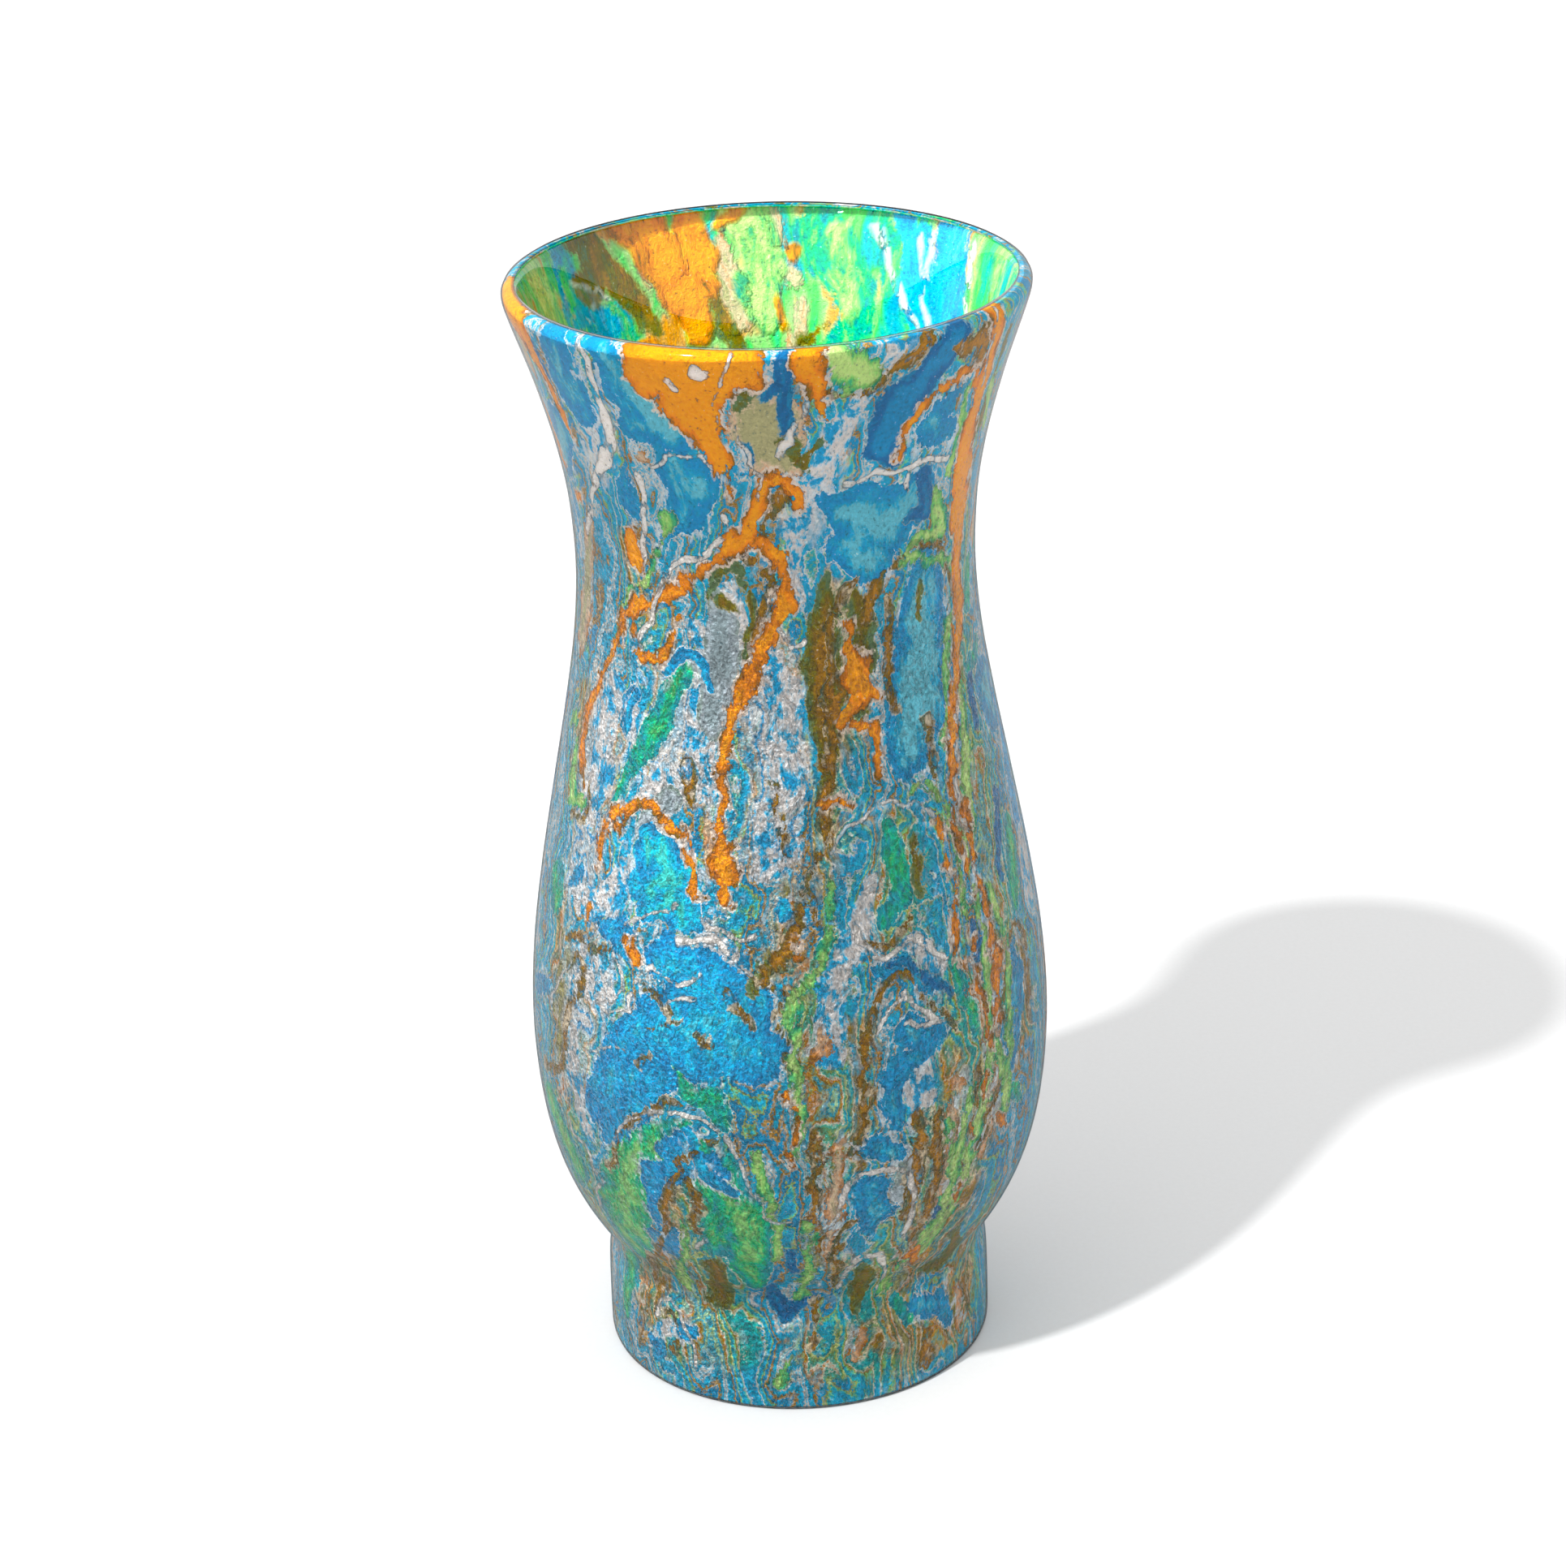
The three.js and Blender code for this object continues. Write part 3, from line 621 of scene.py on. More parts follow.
def strewn_run(draw, turn, height, width, length):
    """A run of paint that drips from a place, or one in eight times an arch over it."""
    if draw.random() < 1 / 8:
        reach = draw.uniform(5, 10)
        bends = math.pi * np.linspace(-0.15, 1.15, 8)
        return [(turn + reach * math.cos(b), height + 1.3 * reach * math.sin(b), width * 0.7) for b in bends]
    drift = draw.uniform(-12, 12)
    return [(turn + drift * t + draw.uniform(-2, 2), max(4, height - length * t),
             width * draw.uniform(0.3, 1.3)) for t in np.linspace(0, 1, 6)]


def strewn_outside():
    """More runs of the same paints on the far side, strewn by a seeded draw."""
    draw = np.random.default_rng(OUTSIDE_SEED)
    runs = {}
    for paint, (count, thin, fat, length) in STREWN_OUTSIDE.items():
        runs[paint] = [strewn_run(draw, draw.uniform(84, 276), draw.uniform(14, 230),
                                  draw.uniform(thin, fat), length) for _ in range(count)]
    return runs


def strewn_inside():
    """The broad first pools, left clear of the far wall of the mouth."""
    draw = np.random.default_rng(INSIDE_SEED)
    runs = {paint: [] for paint in STREWN_INSIDE}
    for paint, (count, thin, fat, length) in STREWN_INSIDE.items():
        for _ in range(count):
            turn, height = draw.uniform(-180, 180), draw.uniform(30, 230)
            if 90 < turn % 360 < 270:
                height = min(height, MOUTH_CLEAR_ABOVE)
            runs[paint].append(strewn_run(draw, turn, height, draw.uniform(thin, fat), length))
    return runs


def ripples(turn, height, sizes, seed):
    """Wandering made of crossing waves, the same at both ends of a full turn."""
    draw = np.random.default_rng(seed)
    total = np.zeros(turn.shape)
    for wavelength, spread in sizes.items():
        for _ in range(WAVES_PER_LENGTH):
            heading = draw.uniform(0, 2 * math.pi)
            length = wavelength * draw.uniform(0.75, 1.35)
            turns = round(360 * MM_PER_DEGREE / length * math.cos(heading))
            tall = 2 * math.pi / length * math.sin(heading)
            total += spread * 0.58 * np.sin(np.radians(turn) * turns + height * tall + draw.uniform(0, 6.28))
    return total


def distance_to_runs(turn, height, runs):
    """Millimetres from each place to the edge of the nearest run, negative inside it."""
    nearest = np.full(turn.shape, FAR)
    for run in runs:
        run = np.array(run, float)
        mid = run[:, 0].mean()
        across = ((turn - mid + 180) % 360 - 180) + mid
        reach = run[:, 2].max() + FAR
        aside = reach / MM_PER_DEGREE
        near = (across > run[:, 0].min() - aside) & (across < run[:, 0].max() + aside)
        near &= (height > run[:, 1].min() - reach) & (height < run[:, 1].max() + reach)
        spot = np.stack([across[near] * MM_PER_DEGREE, height[near]], -1)
        best = nearest[near]
        line = run * [MM_PER_DEGREE, 1, 1]
        for a, b in zip(line, line[1:]):
            step = b[:2] - a[:2]
            share = np.clip(((spot - a[:2]) @ step) / (step @ step + 1e-9), 0, 1)
            gap = np.linalg.norm(spot - a[:2] - share[:, None] * step, axis=1)
            best = np.minimum(best, gap - (a[2] + share * (b[2] - a[2])))
        nearest[near] = best
    return nearest


def mark_paints(piece, outer_rows):
    """Writes, at each vertex of the film, how far it is from the edge of each paint."""
    co = np.empty(len(piece.data.vertices) * 3)
    piece.data.vertices.foreach_get("co", co)
    co = co.reshape(-1, 3) / MM
    behind = np.arange(len(co)) >= outer_rows * PAINT_TURN_STEPS
    turn = np.degrees(np.arctan2(co[:, 0], -co[:, 1]))
    height = co[:, 2]
    sideways = ripples(turn, height, SIDEWAYS, SIDEWAYS_SEED)
    upward = ripples(turn, height, UPWARD, UPWARD_SEED)
    turn, height = turn + sideways / MM_PER_DEGREE, height + upward

    marks = {"behind": behind.astype(float), "outline": np.full(turn.shape, FAR)}
    far_outside, all_inside = strewn_outside(), strewn_inside()
    for paint in OUTSIDE:
        gap = np.empty(turn.shape)
        outer_runs = OUTSIDE[paint] + far_outside[paint]
        inner_runs = INSIDE.get(paint, []) + all_inside[paint]
        for side, runs in ((~behind, outer_runs), (behind, inner_runs)):
            gap[side] = distance_to_runs(turn[side], height[side], runs)
        marks["outline"] = np.minimum(marks["outline"], np.abs(gap))
        marks[paint] = gap
    for wash, runs in WASHES.items():
        marks[wash] = distance_to_runs(turn, height, runs)
    for name, values in marks.items():
        written = piece.data.attributes.new(name, "FLOAT", "POINT")
        written.data.foreach_set("value", values.astype(np.float32))


# ---------------------------------------------------------------- finishes

# Every colour below the coat is given as the eye gets it: the coat's own shine lays this much light over
# it, the lamp brings back this share of it, and no dried paint is whiter than this
COAT_VEIL = 0.022
LAMP_SHARE = 0.95
WHITEST = 0.92


def colour(hexadecimal):
    """An sRGB hex colour as linear values."""
    parts = [int(hexadecimal[i:i + 2], 16) / 255 for i in (1, 3, 5)]
    return tuple(c / 12.92 if c <= 0.04045 else ((c + 0.055) / 1.055) ** 2.4 for c in parts) + (1.0,)


def under_coat(hexadecimal):
    """The paint that gives the eye this colour once the coat is over it."""
    return tuple(min(max((c - COAT_VEIL) / LAMP_SHARE, 0), WHITEST) for c in colour(hexadecimal)[:3]) + (1.0,)


# What a kind of node is set to, and which of its outputs is wanted, where nothing else is said
USUAL = {
    "Math": {"operation": "MULTIPLY_ADD"},
    "VectorMath": {"operation": "MULTIPLY_ADD"},
    "Mix": {"data_type": "RGBA"},
}
USUAL_OUTPUT = {"Mix": 2, "Attribute": 2}


def add(tree, kind, inputs=(), stops=(), out=None, **settings):
    """Adds a node with its settings and links, and gives the output that is wanted from it."""
    node = tree.nodes.new("ShaderNode" + kind)
    out = USUAL_OUTPUT.get(kind, 0) if out is None else out
    for name, value in {**USUAL.get(kind, {}), **settings}.items():
        setattr(node, name, value)
    for name, value in inputs.items() if isinstance(inputs, dict) else enumerate(inputs):
        if isinstance(value, bpy.types.NodeSocket):
            tree.links.new(value, node.inputs[name])
        else:
            node.inputs[name].default_value = value
    for _ in stops[2:]:
        node.color_ramp.elements.new(0.5)
    for (position, shade), element in zip(stops, node.color_ramp.elements if stops else ()):
        element.position = position
        element.color = shade if isinstance(shade, tuple) else (shade, shade, shade, 1)
    return node.outputs[out] if node.outputs else node


def material(name):
    made = bpy.data.materials.new(name)
    made.use_nodes = True
    made.node_tree.nodes.clear()
    return made, made.node_tree


def clear_glass():
    """Fire-polished soda-lime glass: the eye gets its bend, its bright rim and its even gloss."""
    made, tree = material("clear_soda_lime_glass")
    glass = add(tree, "BsdfGlass", {"Color": colour("#FAFDFC"), "Roughness": 0.0, "IOR": 1.5})
    open_glass = add(tree, "BsdfTransparent", {"Color": colour("#F4FAF8")})
    in_shadow = add(tree, "LightPath", out="Is Shadow Ray")
    mixed = add(tree, "MixShader", (in_shadow, glass, open_glass))
    add(tree, "OutputMaterial", {"Surface": mixed})
    return made


# In millimetres: the coat is crinkled below one height and smooth above the other, and how far apart the
# crinkles are
CRINKLED_BELOW, SMOOTH_ABOVE = 170.0, 216.0
CRINKLE_SIZE = 1.1
CRINKLE_DEPTH = 0.6 * MM
SMOOTH_ROUGHNESS, CRINKLED_ROUGHNESS = 0.06, 0.25


def gloss_seal():
    """Brushed clear acrylic varnish: the eye gets its shine, crinkled on the body, smooth at the lip."""
    made, tree = material("clear_acrylic_varnish")
    place = add(tree, "TexCoord", out="Object")
    sized = add(tree, "Mapping", {"Vector": place, "Scale": (1 / MM, 1 / MM, 1 / MM)})
    crinkle = add(tree, "TexNoise", {"Vector": sized, "Scale": 1 / CRINKLE_SIZE, "Detail": 3.0,
                                     "Roughness": 0.6, "Distortion": 0.8})
    height = add(tree, "SeparateXYZ", (sized,), out="Z")
    body = add(tree, "MapRange", {"Value": height, "From Min": SMOOTH_ABOVE, "From Max": CRINKLED_BELOW})
    bump = add(tree, "Bump", {"Height": crinkle, "Strength": body, "Distance": CRINKLE_DEPTH})
    soft = add(tree, "MapRange", {"Value": body, "To Min": SMOOTH_ROUGHNESS, "To Max": CRINKLED_ROUGHNESS})
    facing = add(tree, "Fresnel", {"IOR": 1.46, "Normal": bump})
    shine = add(tree, "BsdfGlossy", {"Color": colour("#BCBCBC"), "Roughness": soft, "Normal": bump})
    open_film = add(tree, "BsdfTransparent", {"Color": (1, 1, 1, 1)})
    mixed = add(tree, "MixShader", (facing, open_film, shine))
    add(tree, "OutputMaterial", {"Surface": mixed})
    return made


# Each grain of the pour: how far it is drawn out upright, how the swirl folds it in millimetres, its size
# in millimetres, its detail, its roughness and its twist
GRAINS = {
    "lace": (0.6, (5.0, 5.0, 4.0), 2.8, 5.0, 0.66, 0.2),
    "fine_lace": (1.0, (4.0, 4.0, 4.0), 0.7, 3.0, 0.65, 0.0),
    "tears": (1.0, (4.0, 4.0, 4.0), 4.0, 2.0, 0.5, 0.0),
    "streaky": (0.3, (8.0, 8.0, 3.0), 2.4, 4.0, 0.68, 0.0),
    "swaying": (0.18, (9.0, 9.0, 2.0), 15.0, 3.0, 0.5, 0.0),
    "first_pour": (0.18, (9.0, 9.0, 2.0), 8.0, 3.0, 0.55, 0.0),
    "wrinkles_and_painted_shade": (0.7, (4.0, 4.0, 4.0), 1.7, 2.0, 0.55, 0.0),
    "drift": (1.0, (0.0, 0.0, 0.0), 12.0, 3.0, 0.5, 0.0),
}
SWIRL_SIZE = 13.0
# The body is wrinkled, in relief and in painted highlight and shade, up to one height and smooth from the
# other
WRINKLED_BELOW, UNWRINKLED_ABOVE = 160 * MM, 200 * MM
RELIEF = 0.7 * MM

# The strings between the pools, as one crosses them: blue all round, and green, ochre or white in a wash
STRINGS = {
    "blue": (
        (0.0, "#48AAC5"), (0.12, "#3AA2CC"), (0.17, "#D6D4CE"), (0.21, "#6CB0A0"), (0.27, "#3CA3C9"),
        (0.4, "#4BB0CF"), (0.46, "#84C59A"), (0.5, "#A89C50"), (0.53, "#2A94BE"), (0.63, "#3599C5"),
        (0.68, "#C8A878"), (0.72, "#94703A"), (0.77, "#3FA5C3"), (0.88, "#42AACF"), (0.94, "#DCCFC0"),
        (1.0, "#4FAFCF"),
    ),
    "green_wash": (
        (0.0, "#3F9FA8"), (0.12, "#56A79A"), (0.17, "#D8D0B8"), (0.22, "#9A7C40"), (0.28, "#93C07C"),
        (0.37, "#3FA5BB"), (0.45, "#3C9CA8"), (0.51, "#C9CE8E"), (0.57, "#7A9460"), (0.65, "#5FAFA0"),
        (0.71, "#DCD4C4"), (0.76, "#B3742C"), (0.82, "#9A9A66"), (0.91, "#42A1BF"), (1.0, "#B4C894"),
    ),
    "ochre_wash": (
        (0.0, "#8A7A44"), (0.1, "#A87C38"), (0.17, "#DCCDB4"), (0.23, "#7C9468"), (0.32, "#4A98A4"),
        (0.4, "#B4A868"), (0.46, "#C8883C"), (0.52, "#D8C4A4"), (0.58, "#86743C"), (0.66, "#6A8C74"),
        (0.73, "#D08A48"), (0.79, "#CFC8B8"), (0.88, "#7E7A48"), (1.0, "#A8A070"),
    ),
    "white_wash": (
        (0.0, "#C2CCD2"), (0.12, "#DED6D0"), (0.2, "#4FA8D2"), (0.3, "#42AACF"), (0.4, "#A8C4D2"),
        (0.5, "#E0D6CE"), (0.57, "#C4A078"), (0.61, "#8CB4B4"), (0.68, "#C8CCCA"), (0.76, "#3A9CCC"),
        (0.86, "#DCD4CC"), (1.0, "#9CBCCC"),
    ),
}
# The first paint on the glass, seen through it from inside
FIRST_POUR = (
    (0.32, "#029DCC"), (0.42, "#5FBFA5"), (0.48, "#6FD07C"), (0.55, "#A8CB92"), (0.6, "#DBB27F"),
    (0.7, "#E69948"), (0.78, "#988549"),
)
# Each pool: how ragged its edge is, the string round it and that string's width in millimetres, how many
# millimetres its colours grade over, and those colours from its edge to its heart
POOLS = {
    "silver": (1.2, None, 0, 0, ()),
    "pewter": (0.9, "#D8DAD8", 0.4, 3.0, ("#8E9E96", "#A4B0B2", "#B4BEC4", "#98A6AA")),
    "mint": (1.3, "#D0DACC", 0.35, 6.0, ("#2E9CAA", "#44B098", "#5CC088", "#9ACC8C")),
    "peach": (2.0, "#C08C58", 0.45, 4.0, ("#C08A58", "#D2A888", "#D8C4AC", "#B4B08C")),
    "blue": (1.4, "#DCDAD4", 0.4, 5.0, ("#309CC4", "#2090C4", "#3CA2C8", "#80C2D0")),
    # The sky blue's lighter colours are partly a painted sheen.
    "sky_blue": (1.3, "#D6DEE0", 0.4, 9.0, ("#1C94CA", "#2AA4D6", "#3CB4E0", "#74CADC")),
    "deep_blue": (1.0, "#8CA6B0", 0.35, 2.8, ("#2088B4", "#1070A4", "#1874A8", "#2C8EBC")),
    "cyan": (0.9, "#DFE4E2", 0.4, 5.0, ("#1894C6", "#2CACD8", "#4CBEDC", "#6CCCC4")),
    "olive": (1.2, "#A8A07C", 0.35, 4.0, ("#6A8060", "#76743C", "#86702E", "#A47A34")),
    "ochre": (0.5, "#DCCBB0", 0.3, 2.2, ("#5E7464", "#7A724C", "#96743C", "#B88C58")),
    "lime": (0.5, "#D2D8AC", 0.3, 2.2, ("#48A090", "#6CB884", "#98CC84", "#C4DC9A")),
    "orange": (0.55, "#E6D6C8", 0.9, 2.2, ("#8A7044", "#C47C30", "#F4920E", "#FFA41C")),
    "white": (0.5, None, 0, 0.7, ("#9CBCCC", "#DED8D2", "#EAE4DE", "#F2ECE6")),
}
GRADED_AT = (0.0, 0.3, 0.62, 1.0)
# Silver grades no deeper: it is torn through by the blue and grey under it
TORN_SILVER = (
    (0.42, "#37A1CF"), (0.47, "#85BCD2"), (0.5, "#C8CED2"), (0.58, "#DED6D0"), (0.66, "#A4B4BC"),
)
PALE_LACE = "#D6D8D6"
EDGE_LACE = "#D2DADE"
DARK_FLECK = "#3F6E7C"
PALE_FLECK = "#E2E2DE"


def marbled_paint():
    """Acrylic paint, poured and left to run: the eye gets pools of body colour edged by thin strings,
    with torn lace between them."""
    made, tree = material("poured_acrylic_marbling")
    place = add(tree, "TexCoord", out="Object")
    axes = {axis: add(tree, "SeparateXYZ", (place,), out=axis) for axis in "XYZ"}
    marks = {name: add(tree, "Attribute", attribute_name=name)
             for name in (*POOLS, *WASHES, "outline", "behind")}
    flat = add(tree, "Mapping", {"Vector": place, "Scale": (1 / MM, 1 / MM, 1 / MM)})
    swirl = add(tree, "TexNoise", {"Vector": flat, "Scale": 1 / SWIRL_SIZE, "Detail": 1.5}, out="Color")
    swirl = add(tree, "VectorMath", (swirl, (0.5, 0.5, 0.5)), operation="SUBTRACT")
    grain = {}
    for name, (upright, fold, size, detail, rough, twist) in GRAINS.items():
        drawn = add(tree, "Mapping", {"Vector": place, "Scale": (1 / MM, 1 / MM, upright / MM)})
        folded = add(tree, "VectorMath", (swirl, fold, drawn))
        grain[name] = add(tree, "TexNoise", {"Vector": folded, "Scale": 1 / size, "Detail": detail,
                                             "Roughness": rough, "Distortion": twist})
    lace, fine_lace, streaky = grain["lace"], grain["fine_lace"], grain["streaky"]
    behind = marks["behind"]
    outside = add(tree, "Math", (1.0, behind), operation="SUBTRACT")

    # The strings between the pools: hung side by side round the wall, swaying a little, and following
    # the pools' outlines close by
    around = add(tree, "Math", (axes["X"], axes["Y"]), operation="ARCTAN2")
    close_by = add(tree, "Math", (marks["outline"], 5.0), operation="MINIMUM")
    strings = 0.0
    for part, amount in ((grain["swaying"], 2.8), (around, STRING_SETS / math.pi), (close_by, 0.11),
                         (streaky, 0.34), (fine_lace, 0.3)):
        strings = add(tree, "Math", (part, amount, strings))
    strings = add(tree, "Math", (strings, 1.0), operation="PINGPONG")
    patchy = add(tree, "Math", (streaky, 14.0), operation="MULTIPLY")
    colours = None
    for wash, stops in STRINGS.items():
        hues = add(tree, "ValToRGB", (strings,), stops=[(at, under_coat(hue)) for at, hue in stops])
        if colours:
            near = add(tree, "Math", (patchy, marks[wash]), operation="ADD")
            washed = add(tree, "Math", (near, -0.3, 2.5), use_clamp=True)
            hues = add(tree, "Mix", {0: washed, 6: colours, 7: hues})
        colours = hues
    # Torn lace of pale paint over the strings, most of all in the white wash
    torn = add(tree, "ValToRGB", (lace,), stops=((0.56, 0.0), (0.6, 0.9)))
    paler = add(tree, "Math", (washed, 0.7, 0.3))
    pale = add(tree, "Math", (torn, paler), operation="MULTIPLY")
    colours = add(tree, "Mix", {0: pale, 6: colours, 7: under_coat(PALE_LACE)})
    stops = [(at, under_coat(hue)) for at, hue in FIRST_POUR]
    first = add(tree, "ValToRGB", (grain["first_pour"],), stops=stops)
    colours = add(tree, "Mix", {0: outside, 6: first, 7: colours})

    # What wears each pool's edge: it wanders, its string breaks, lace tears it and thin drips are nibbled
    wander = add(tree, "Math", (streaky, 4.6, -2.3))
    shaken = add(tree, "Math", (fine_lace, 0.5), operation="SUBTRACT")
    wander = add(tree, "Math", (shaken, 2.0, wander))
    broken = add(tree, "ValToRGB", (grain["tears"],), stops=((0.44, 0.0), (0.52, 0.9)))
    broken = add(tree, "Math", (broken, outside), operation="MULTIPLY")
    torn_edge = add(tree, "ValToRGB", (lace,), stops=((0.53, 0.0), (0.57, 0.9)))
    torn_edge = add(tree, "Math", (torn_edge, outside), operation="MULTIPLY")
    nibbled = add(tree, "Math", (lace, 7.0, -3.35))
    holed = add(tree, "ValToRGB", (lace,), stops=((0.4, 0.1), (0.46, 1.0)))
    sharpness = add(tree, "Math", (outside, -4.1, -0.9))
    graded = add(tree, "Math", (outside, 0.85, 0.15))
    # Broad pools are mottled a little and thin drips more
    mottled = {}
    for thin, streaks, start, more_behind in ((False, 3.2, -2.3, 0.4), (True, 3.6, -2.25, 0.3)):
        mottle = add(tree, "Math", (lace, 1.6, start))
        mottle = add(tree, "Math", (streaky, streaks, mottle))
        mottled[thin] = add(tree, "Math", (behind, more_behind, mottle))

    # The body wrinkled as it dried, over all but the smooth top and the side that lay on the glass. The
    # wrinkling raises a relief, and lays a painted highlight on each ridge and painted shade in each fold.
    wrinkled = add(tree, "MapRange", {"Value": axes["Z"], "From Min": UNWRINKLED_ABOVE,
                                      "From Max": WRINKLED_BELOW})
    wrinkled = add(tree, "Math", (wrinkled, outside), operation="MULTIPLY")
    wrinkles_and_painted_shade = add(tree, "Math", (grain["wrinkles_and_painted_shade"], 2.6), operation="MULTIPLY")
    wrinkles_and_painted_shade = add(tree, "Math", (wrinkles_and_painted_shade, 0.5), operation="PINGPONG")
    wrinkles_and_painted_shade = add(tree, "Math", (wrinkles_and_painted_shade, 0.25), operation="SUBTRACT")
    wrinkles_and_painted_shade = add(tree, "Math", (wrinkles_and_painted_shade, wrinkled), operation="MULTIPLY")
    raised = 0.0
    for part, amount in ((lace, 0.6), (fine_lace, 1.1), (wrinkles_and_painted_shade, 2.2)):
        raised = add(tree, "Math", (part, amount, raised))

    for paint, (ragged, edge, width, grading, hues) in POOLS.items():
        thin = paint in THIN
        gap = add(tree, "Math", (wander, ragged * 0.75, marks[paint]))
        if thin:
            gap = add(tree, "Math", (nibbled, outside, gap))
        borders = [(-4.0 / width, 4.0, broken, edge)] if edge else []
        if paint in LACY:
            borders.append((-0.6, 1.4, torn_edge, EDGE_LACE))
        for slope, start, worn, hue in borders:
            near = add(tree, "Math", (gap, slope, start), use_clamp=True)
            near = add(tree, "Math", (near, worn), operation="MULTIPLY")
            colours = add(tree, "Mix", {0: near, 6: colours, 7: under_coat(hue)})
        inside = add(tree, "Math", (gap, sharpness, 0.5), use_clamp=True)
        if hues:
            depth = add(tree, "Math", (gap, graded), operation="MULTIPLY")
            depth = add(tree, "Math", (depth, -1 / grading, mottled[thin]))
            stops = [(at, under_coat(hue)) for at, hue in zip(GRADED_AT, hues)]
        else:
            depth = lace
            stops = [(at, under_coat(hue)) for at, hue in TORN_SILVER]
        body = add(tree, "ValToRGB", (depth,), stops=stops)
        if paint in ("white", "ochre"):
            inside = add(tree, "Math", (inside, holed), operation="MULTIPLY")
        colours = add(tree, "Mix", {0: inside, 6: colours, 7: body})
        if thin or paint == "white":
            raised = add(tree, "Math", (raised, inside), operation="ADD")

    # Pin-size flecks of pale and dark pigment all over, on a fine grain
    fleck = add(tree, "ValToRGB", (fine_lace,), stops=((0.32, 0.9), (0.37, 0.0), (0.66, 0.0), (0.72, 0.8)))
    fleck = add(tree, "Math", (fleck, 0.6), operation="MULTIPLY")
    pale_one = add(tree, "Math", (fine_lace, 0.5), operation="GREATER_THAN")
    pigment = add(tree, "Mix", {0: pale_one, 6: under_coat(DARK_FLECK), 7: under_coat(PALE_FLECK)})
    colours = add(tree, "Mix", {0: fleck, 6: colours, 7: pigment})
    # The colour's value: a slow drift of tone at random; a fine grain, partly tone at random and partly
    # painted glints of the crinkled shine; and over the wrinkling a painted highlight on each ridge and
    # painted shade in each fold.
    shade = 0.5
    for part, amount in ((grain["drift"], 0.4), (fine_lace, 1.3), (wrinkles_and_painted_shade, 1.2)):
        shade = add(tree, "Math", (part, amount, shade))
    colours = add(tree, "HueSaturation", {"Saturation": 1.18, "Value": shade, "Color": colours})

    bump = add(tree, "Bump", {"Height": raised, "Strength": 1.0, "Distance": RELIEF})
    shell = add(tree, "BsdfPrincipled", {"Base Color": colours, "Roughness": 0.6, "IOR": 1.45,
                                         "Specular IOR Level": 0.0, "Normal": bump})
    add(tree, "OutputMaterial", {"Surface": shell})
    return made


# How many grains of the paper lie along a millimetre
TOOTH_PER_MM = 0.9


def white_paper():
    """Uncoated white paper, rolled matt: the eye gets an even sheet with a faint tooth and no shine."""
    made, tree = material("matt_white_paper")
    place = add(tree, "TexCoord", out="Object")
    tooth = add(tree, "TexNoise", {"Vector": place, "Scale": TOOTH_PER_MM / MM, "Detail": 2.0})
    shade = add(tree, "ValToRGB", (tooth,), stops=((0.3, colour("#CACACA")), (0.7, colour("#CCCCCC"))))
    sheet = add(tree, "BsdfPrincipled", {"Base Color": shade, "Roughness": 1.0, "Specular IOR Level": 0.0})
    add(tree, "OutputMaterial", {"Surface": sheet})
    return made


# ---------------------------------------------------------------- the pieces


def skin_line(node, spacing, hidden_spacing):
    """A skin's half-section from its foot up its outer face and back down its inner face, and how many
    points its outer face has. The inner face is pressed a hair into what it coats, so they wet."""
    section = half_section(node)
    section = np.vstack([section, section[:1]])
    turn_over = int(np.argmax(section[:, 1])) + 2
    outer = eased(smoothed(section[:turn_over], spacing))[:-1]
    inner = eased(smoothed(section[turn_over - 1:], hidden_spacing))[:-1]
    across = np.gradient(inner, axis=0)
    across /= np.linalg.norm(across, axis=1)[:, None]
    inner = inner + WETTED * np.stack([across[:, 1], -across[:, 0]], -1)
    return np.vstack([outer, inner]), len(outer)


def build_glass():
    line = eased(smoothed(half_section("glass_vessel"), finer_at_crease(GLASS_SPACING)))
    return turned("blown_glass", line, GLASS_TURN_STEPS, clear_glass())


def build_paint():
    def hidden_spacing(point):
        plain_to_see = point[1] > SEEN_INSIDE_ABOVE or point[1] < CREASE_BELOW
        return PAINT_SPACING if plain_to_see else HIDDEN_PAINT_SPACING

    line, outer_rows = skin_line("marbled_paint_film", PAINT_SPACING, hidden_spacing)
    piece = turned("marbled_paint", line, PAINT_TURN_STEPS, marbled_paint(), closed=True)
    mark_paints(piece, outer_rows)
    return piece


def build_coat():
    spacing, hidden_spacing = finer_at_crease(COAT_SPACING), finer_at_crease(HIDDEN_PAINT_SPACING)
    line, _ = skin_line("clear_gloss_coat", spacing, hidden_spacing)
    return turned("gloss_seal", line, COAT_TURN_STEPS, gloss_seal(), closed=True)


PIECES = (
    (build_glass(), "glass_vessel", "clear_glass"),
    (build_paint(), "marbled_paint_film", "marbled_paint"),
    (build_coat(), "clear_gloss_coat", "gloss_seal"),
)
for piece, node, slot in PIECES:
    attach(piece, "root")
    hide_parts(node)


# ---------------------------------------------------------------- floor, light and camera

FLOOR_REACH = 4.0
TENT_STRENGTH = 1.32
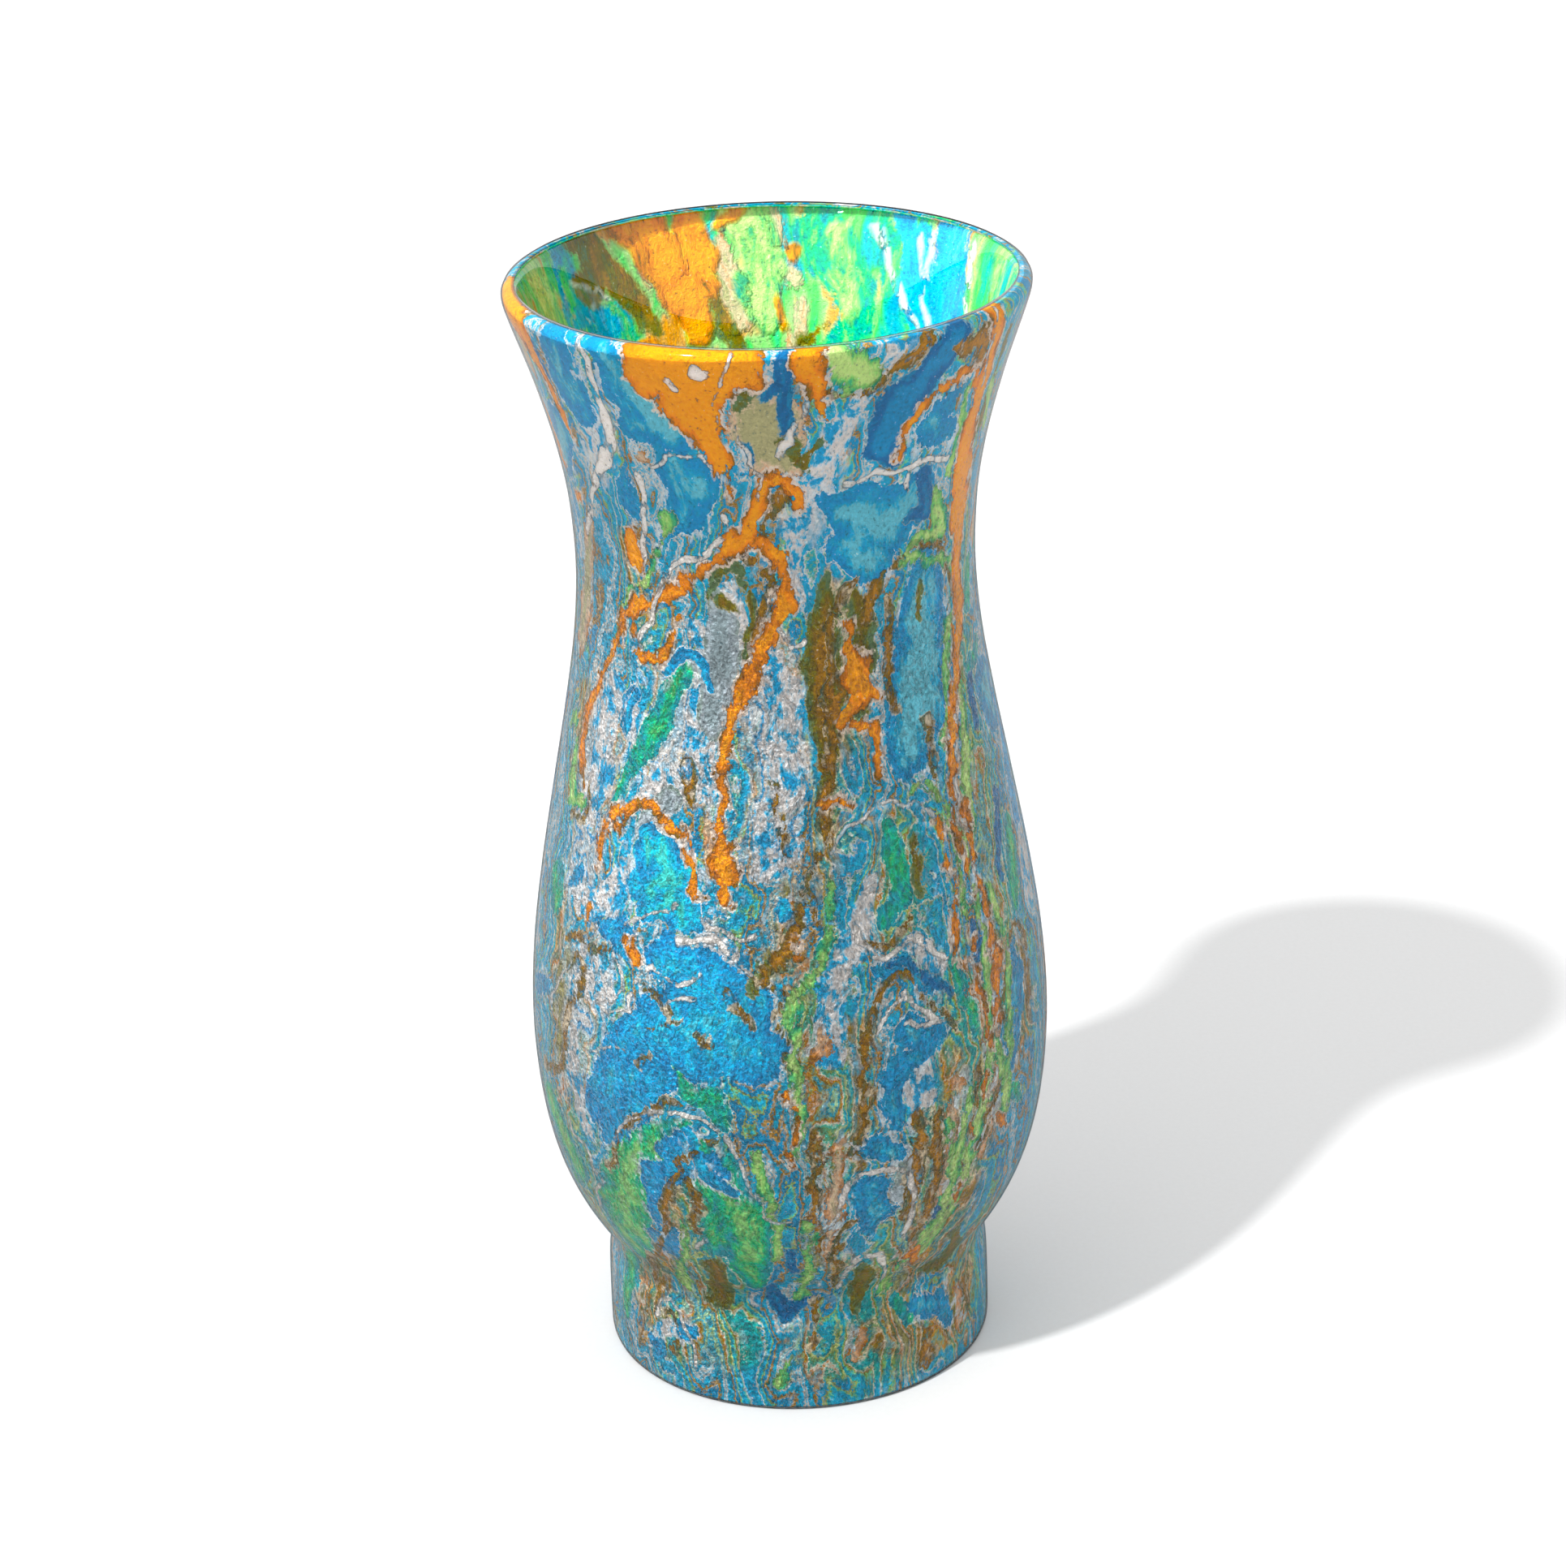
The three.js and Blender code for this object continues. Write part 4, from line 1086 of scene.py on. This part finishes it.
# The shadow falls this far to the right of straight back, and is this much of the vase's height long
SHADOW_TURN = 46
SHADOW_LENGTH = 0.9
LAMP_STRENGTH = 3.35
LAMP_SPREAD = 3

# The camera's place in metres, and its tilts in degrees
LENS = 95.73
CAMERA_BACK = 0.7712
CAMERA_HEIGHT = 0.4587
CAMERA_DOWN = 23.543
CAMERA_ROLL = 1.88


def build_floor():
    mesh = bpy.data.meshes.new("floor")
    corners = [(x * FLOOR_REACH, y * FLOOR_REACH, 0) for x, y in ((-1, -1), (1, -1), (1, 1), (-1, 1))]
    mesh.from_pydata(corners, [], [(0, 1, 2, 3)])
    mesh.materials.append(white_paper())
    floor = bpy.data.objects.new("floor", mesh)
    bpy.context.scene.collection.objects.link(floor)


def build_light():
    """An even white tent and one lamp high on the left in front."""
    world = bpy.data.worlds.new("white_tent")
    world.use_nodes = True
    tent = world.node_tree.nodes["Background"]
    tent.inputs["Color"].default_value = (1, 1, 1, 1)
    tent.inputs["Strength"].default_value = TENT_STRENGTH
    bpy.context.scene.world = world
    lamp = bpy.data.lights.new("key_lamp", "SUN")
    lamp.energy = LAMP_STRENGTH
    lamp.angle = math.radians(LAMP_SPREAD)
    holder = bpy.data.objects.new("key_lamp", lamp)
    heading = math.radians(SHADOW_TURN)
    towards = Vector((math.cos(heading) * SHADOW_LENGTH, math.sin(heading) * SHADOW_LENGTH, -1))
    holder.rotation_euler = towards.to_track_quat("-Z", "Y").to_euler()
    bpy.context.scene.collection.objects.link(holder)


def build_camera():
    lens = bpy.data.cameras.new("camera")
    lens.sensor_fit = "HORIZONTAL"
    lens.sensor_width = 36
    lens.lens = LENS
    lens.clip_end = 20
    camera = bpy.data.objects.new("camera", lens)
    level = Matrix.Rotation(math.pi / 2 - math.radians(CAMERA_DOWN), 4, "X")
    rolled = Matrix.Rotation(-math.radians(CAMERA_ROLL), 4, "Z")
    camera.matrix_world = Matrix.Translation((0, -CAMERA_BACK, CAMERA_HEIGHT)) @ level @ rolled
    bpy.context.scene.collection.objects.link(camera)
    bpy.context.scene.camera = camera


build_floor()
build_light()
build_camera()
bpy.context.scene.view_settings.view_transform = "Standard"
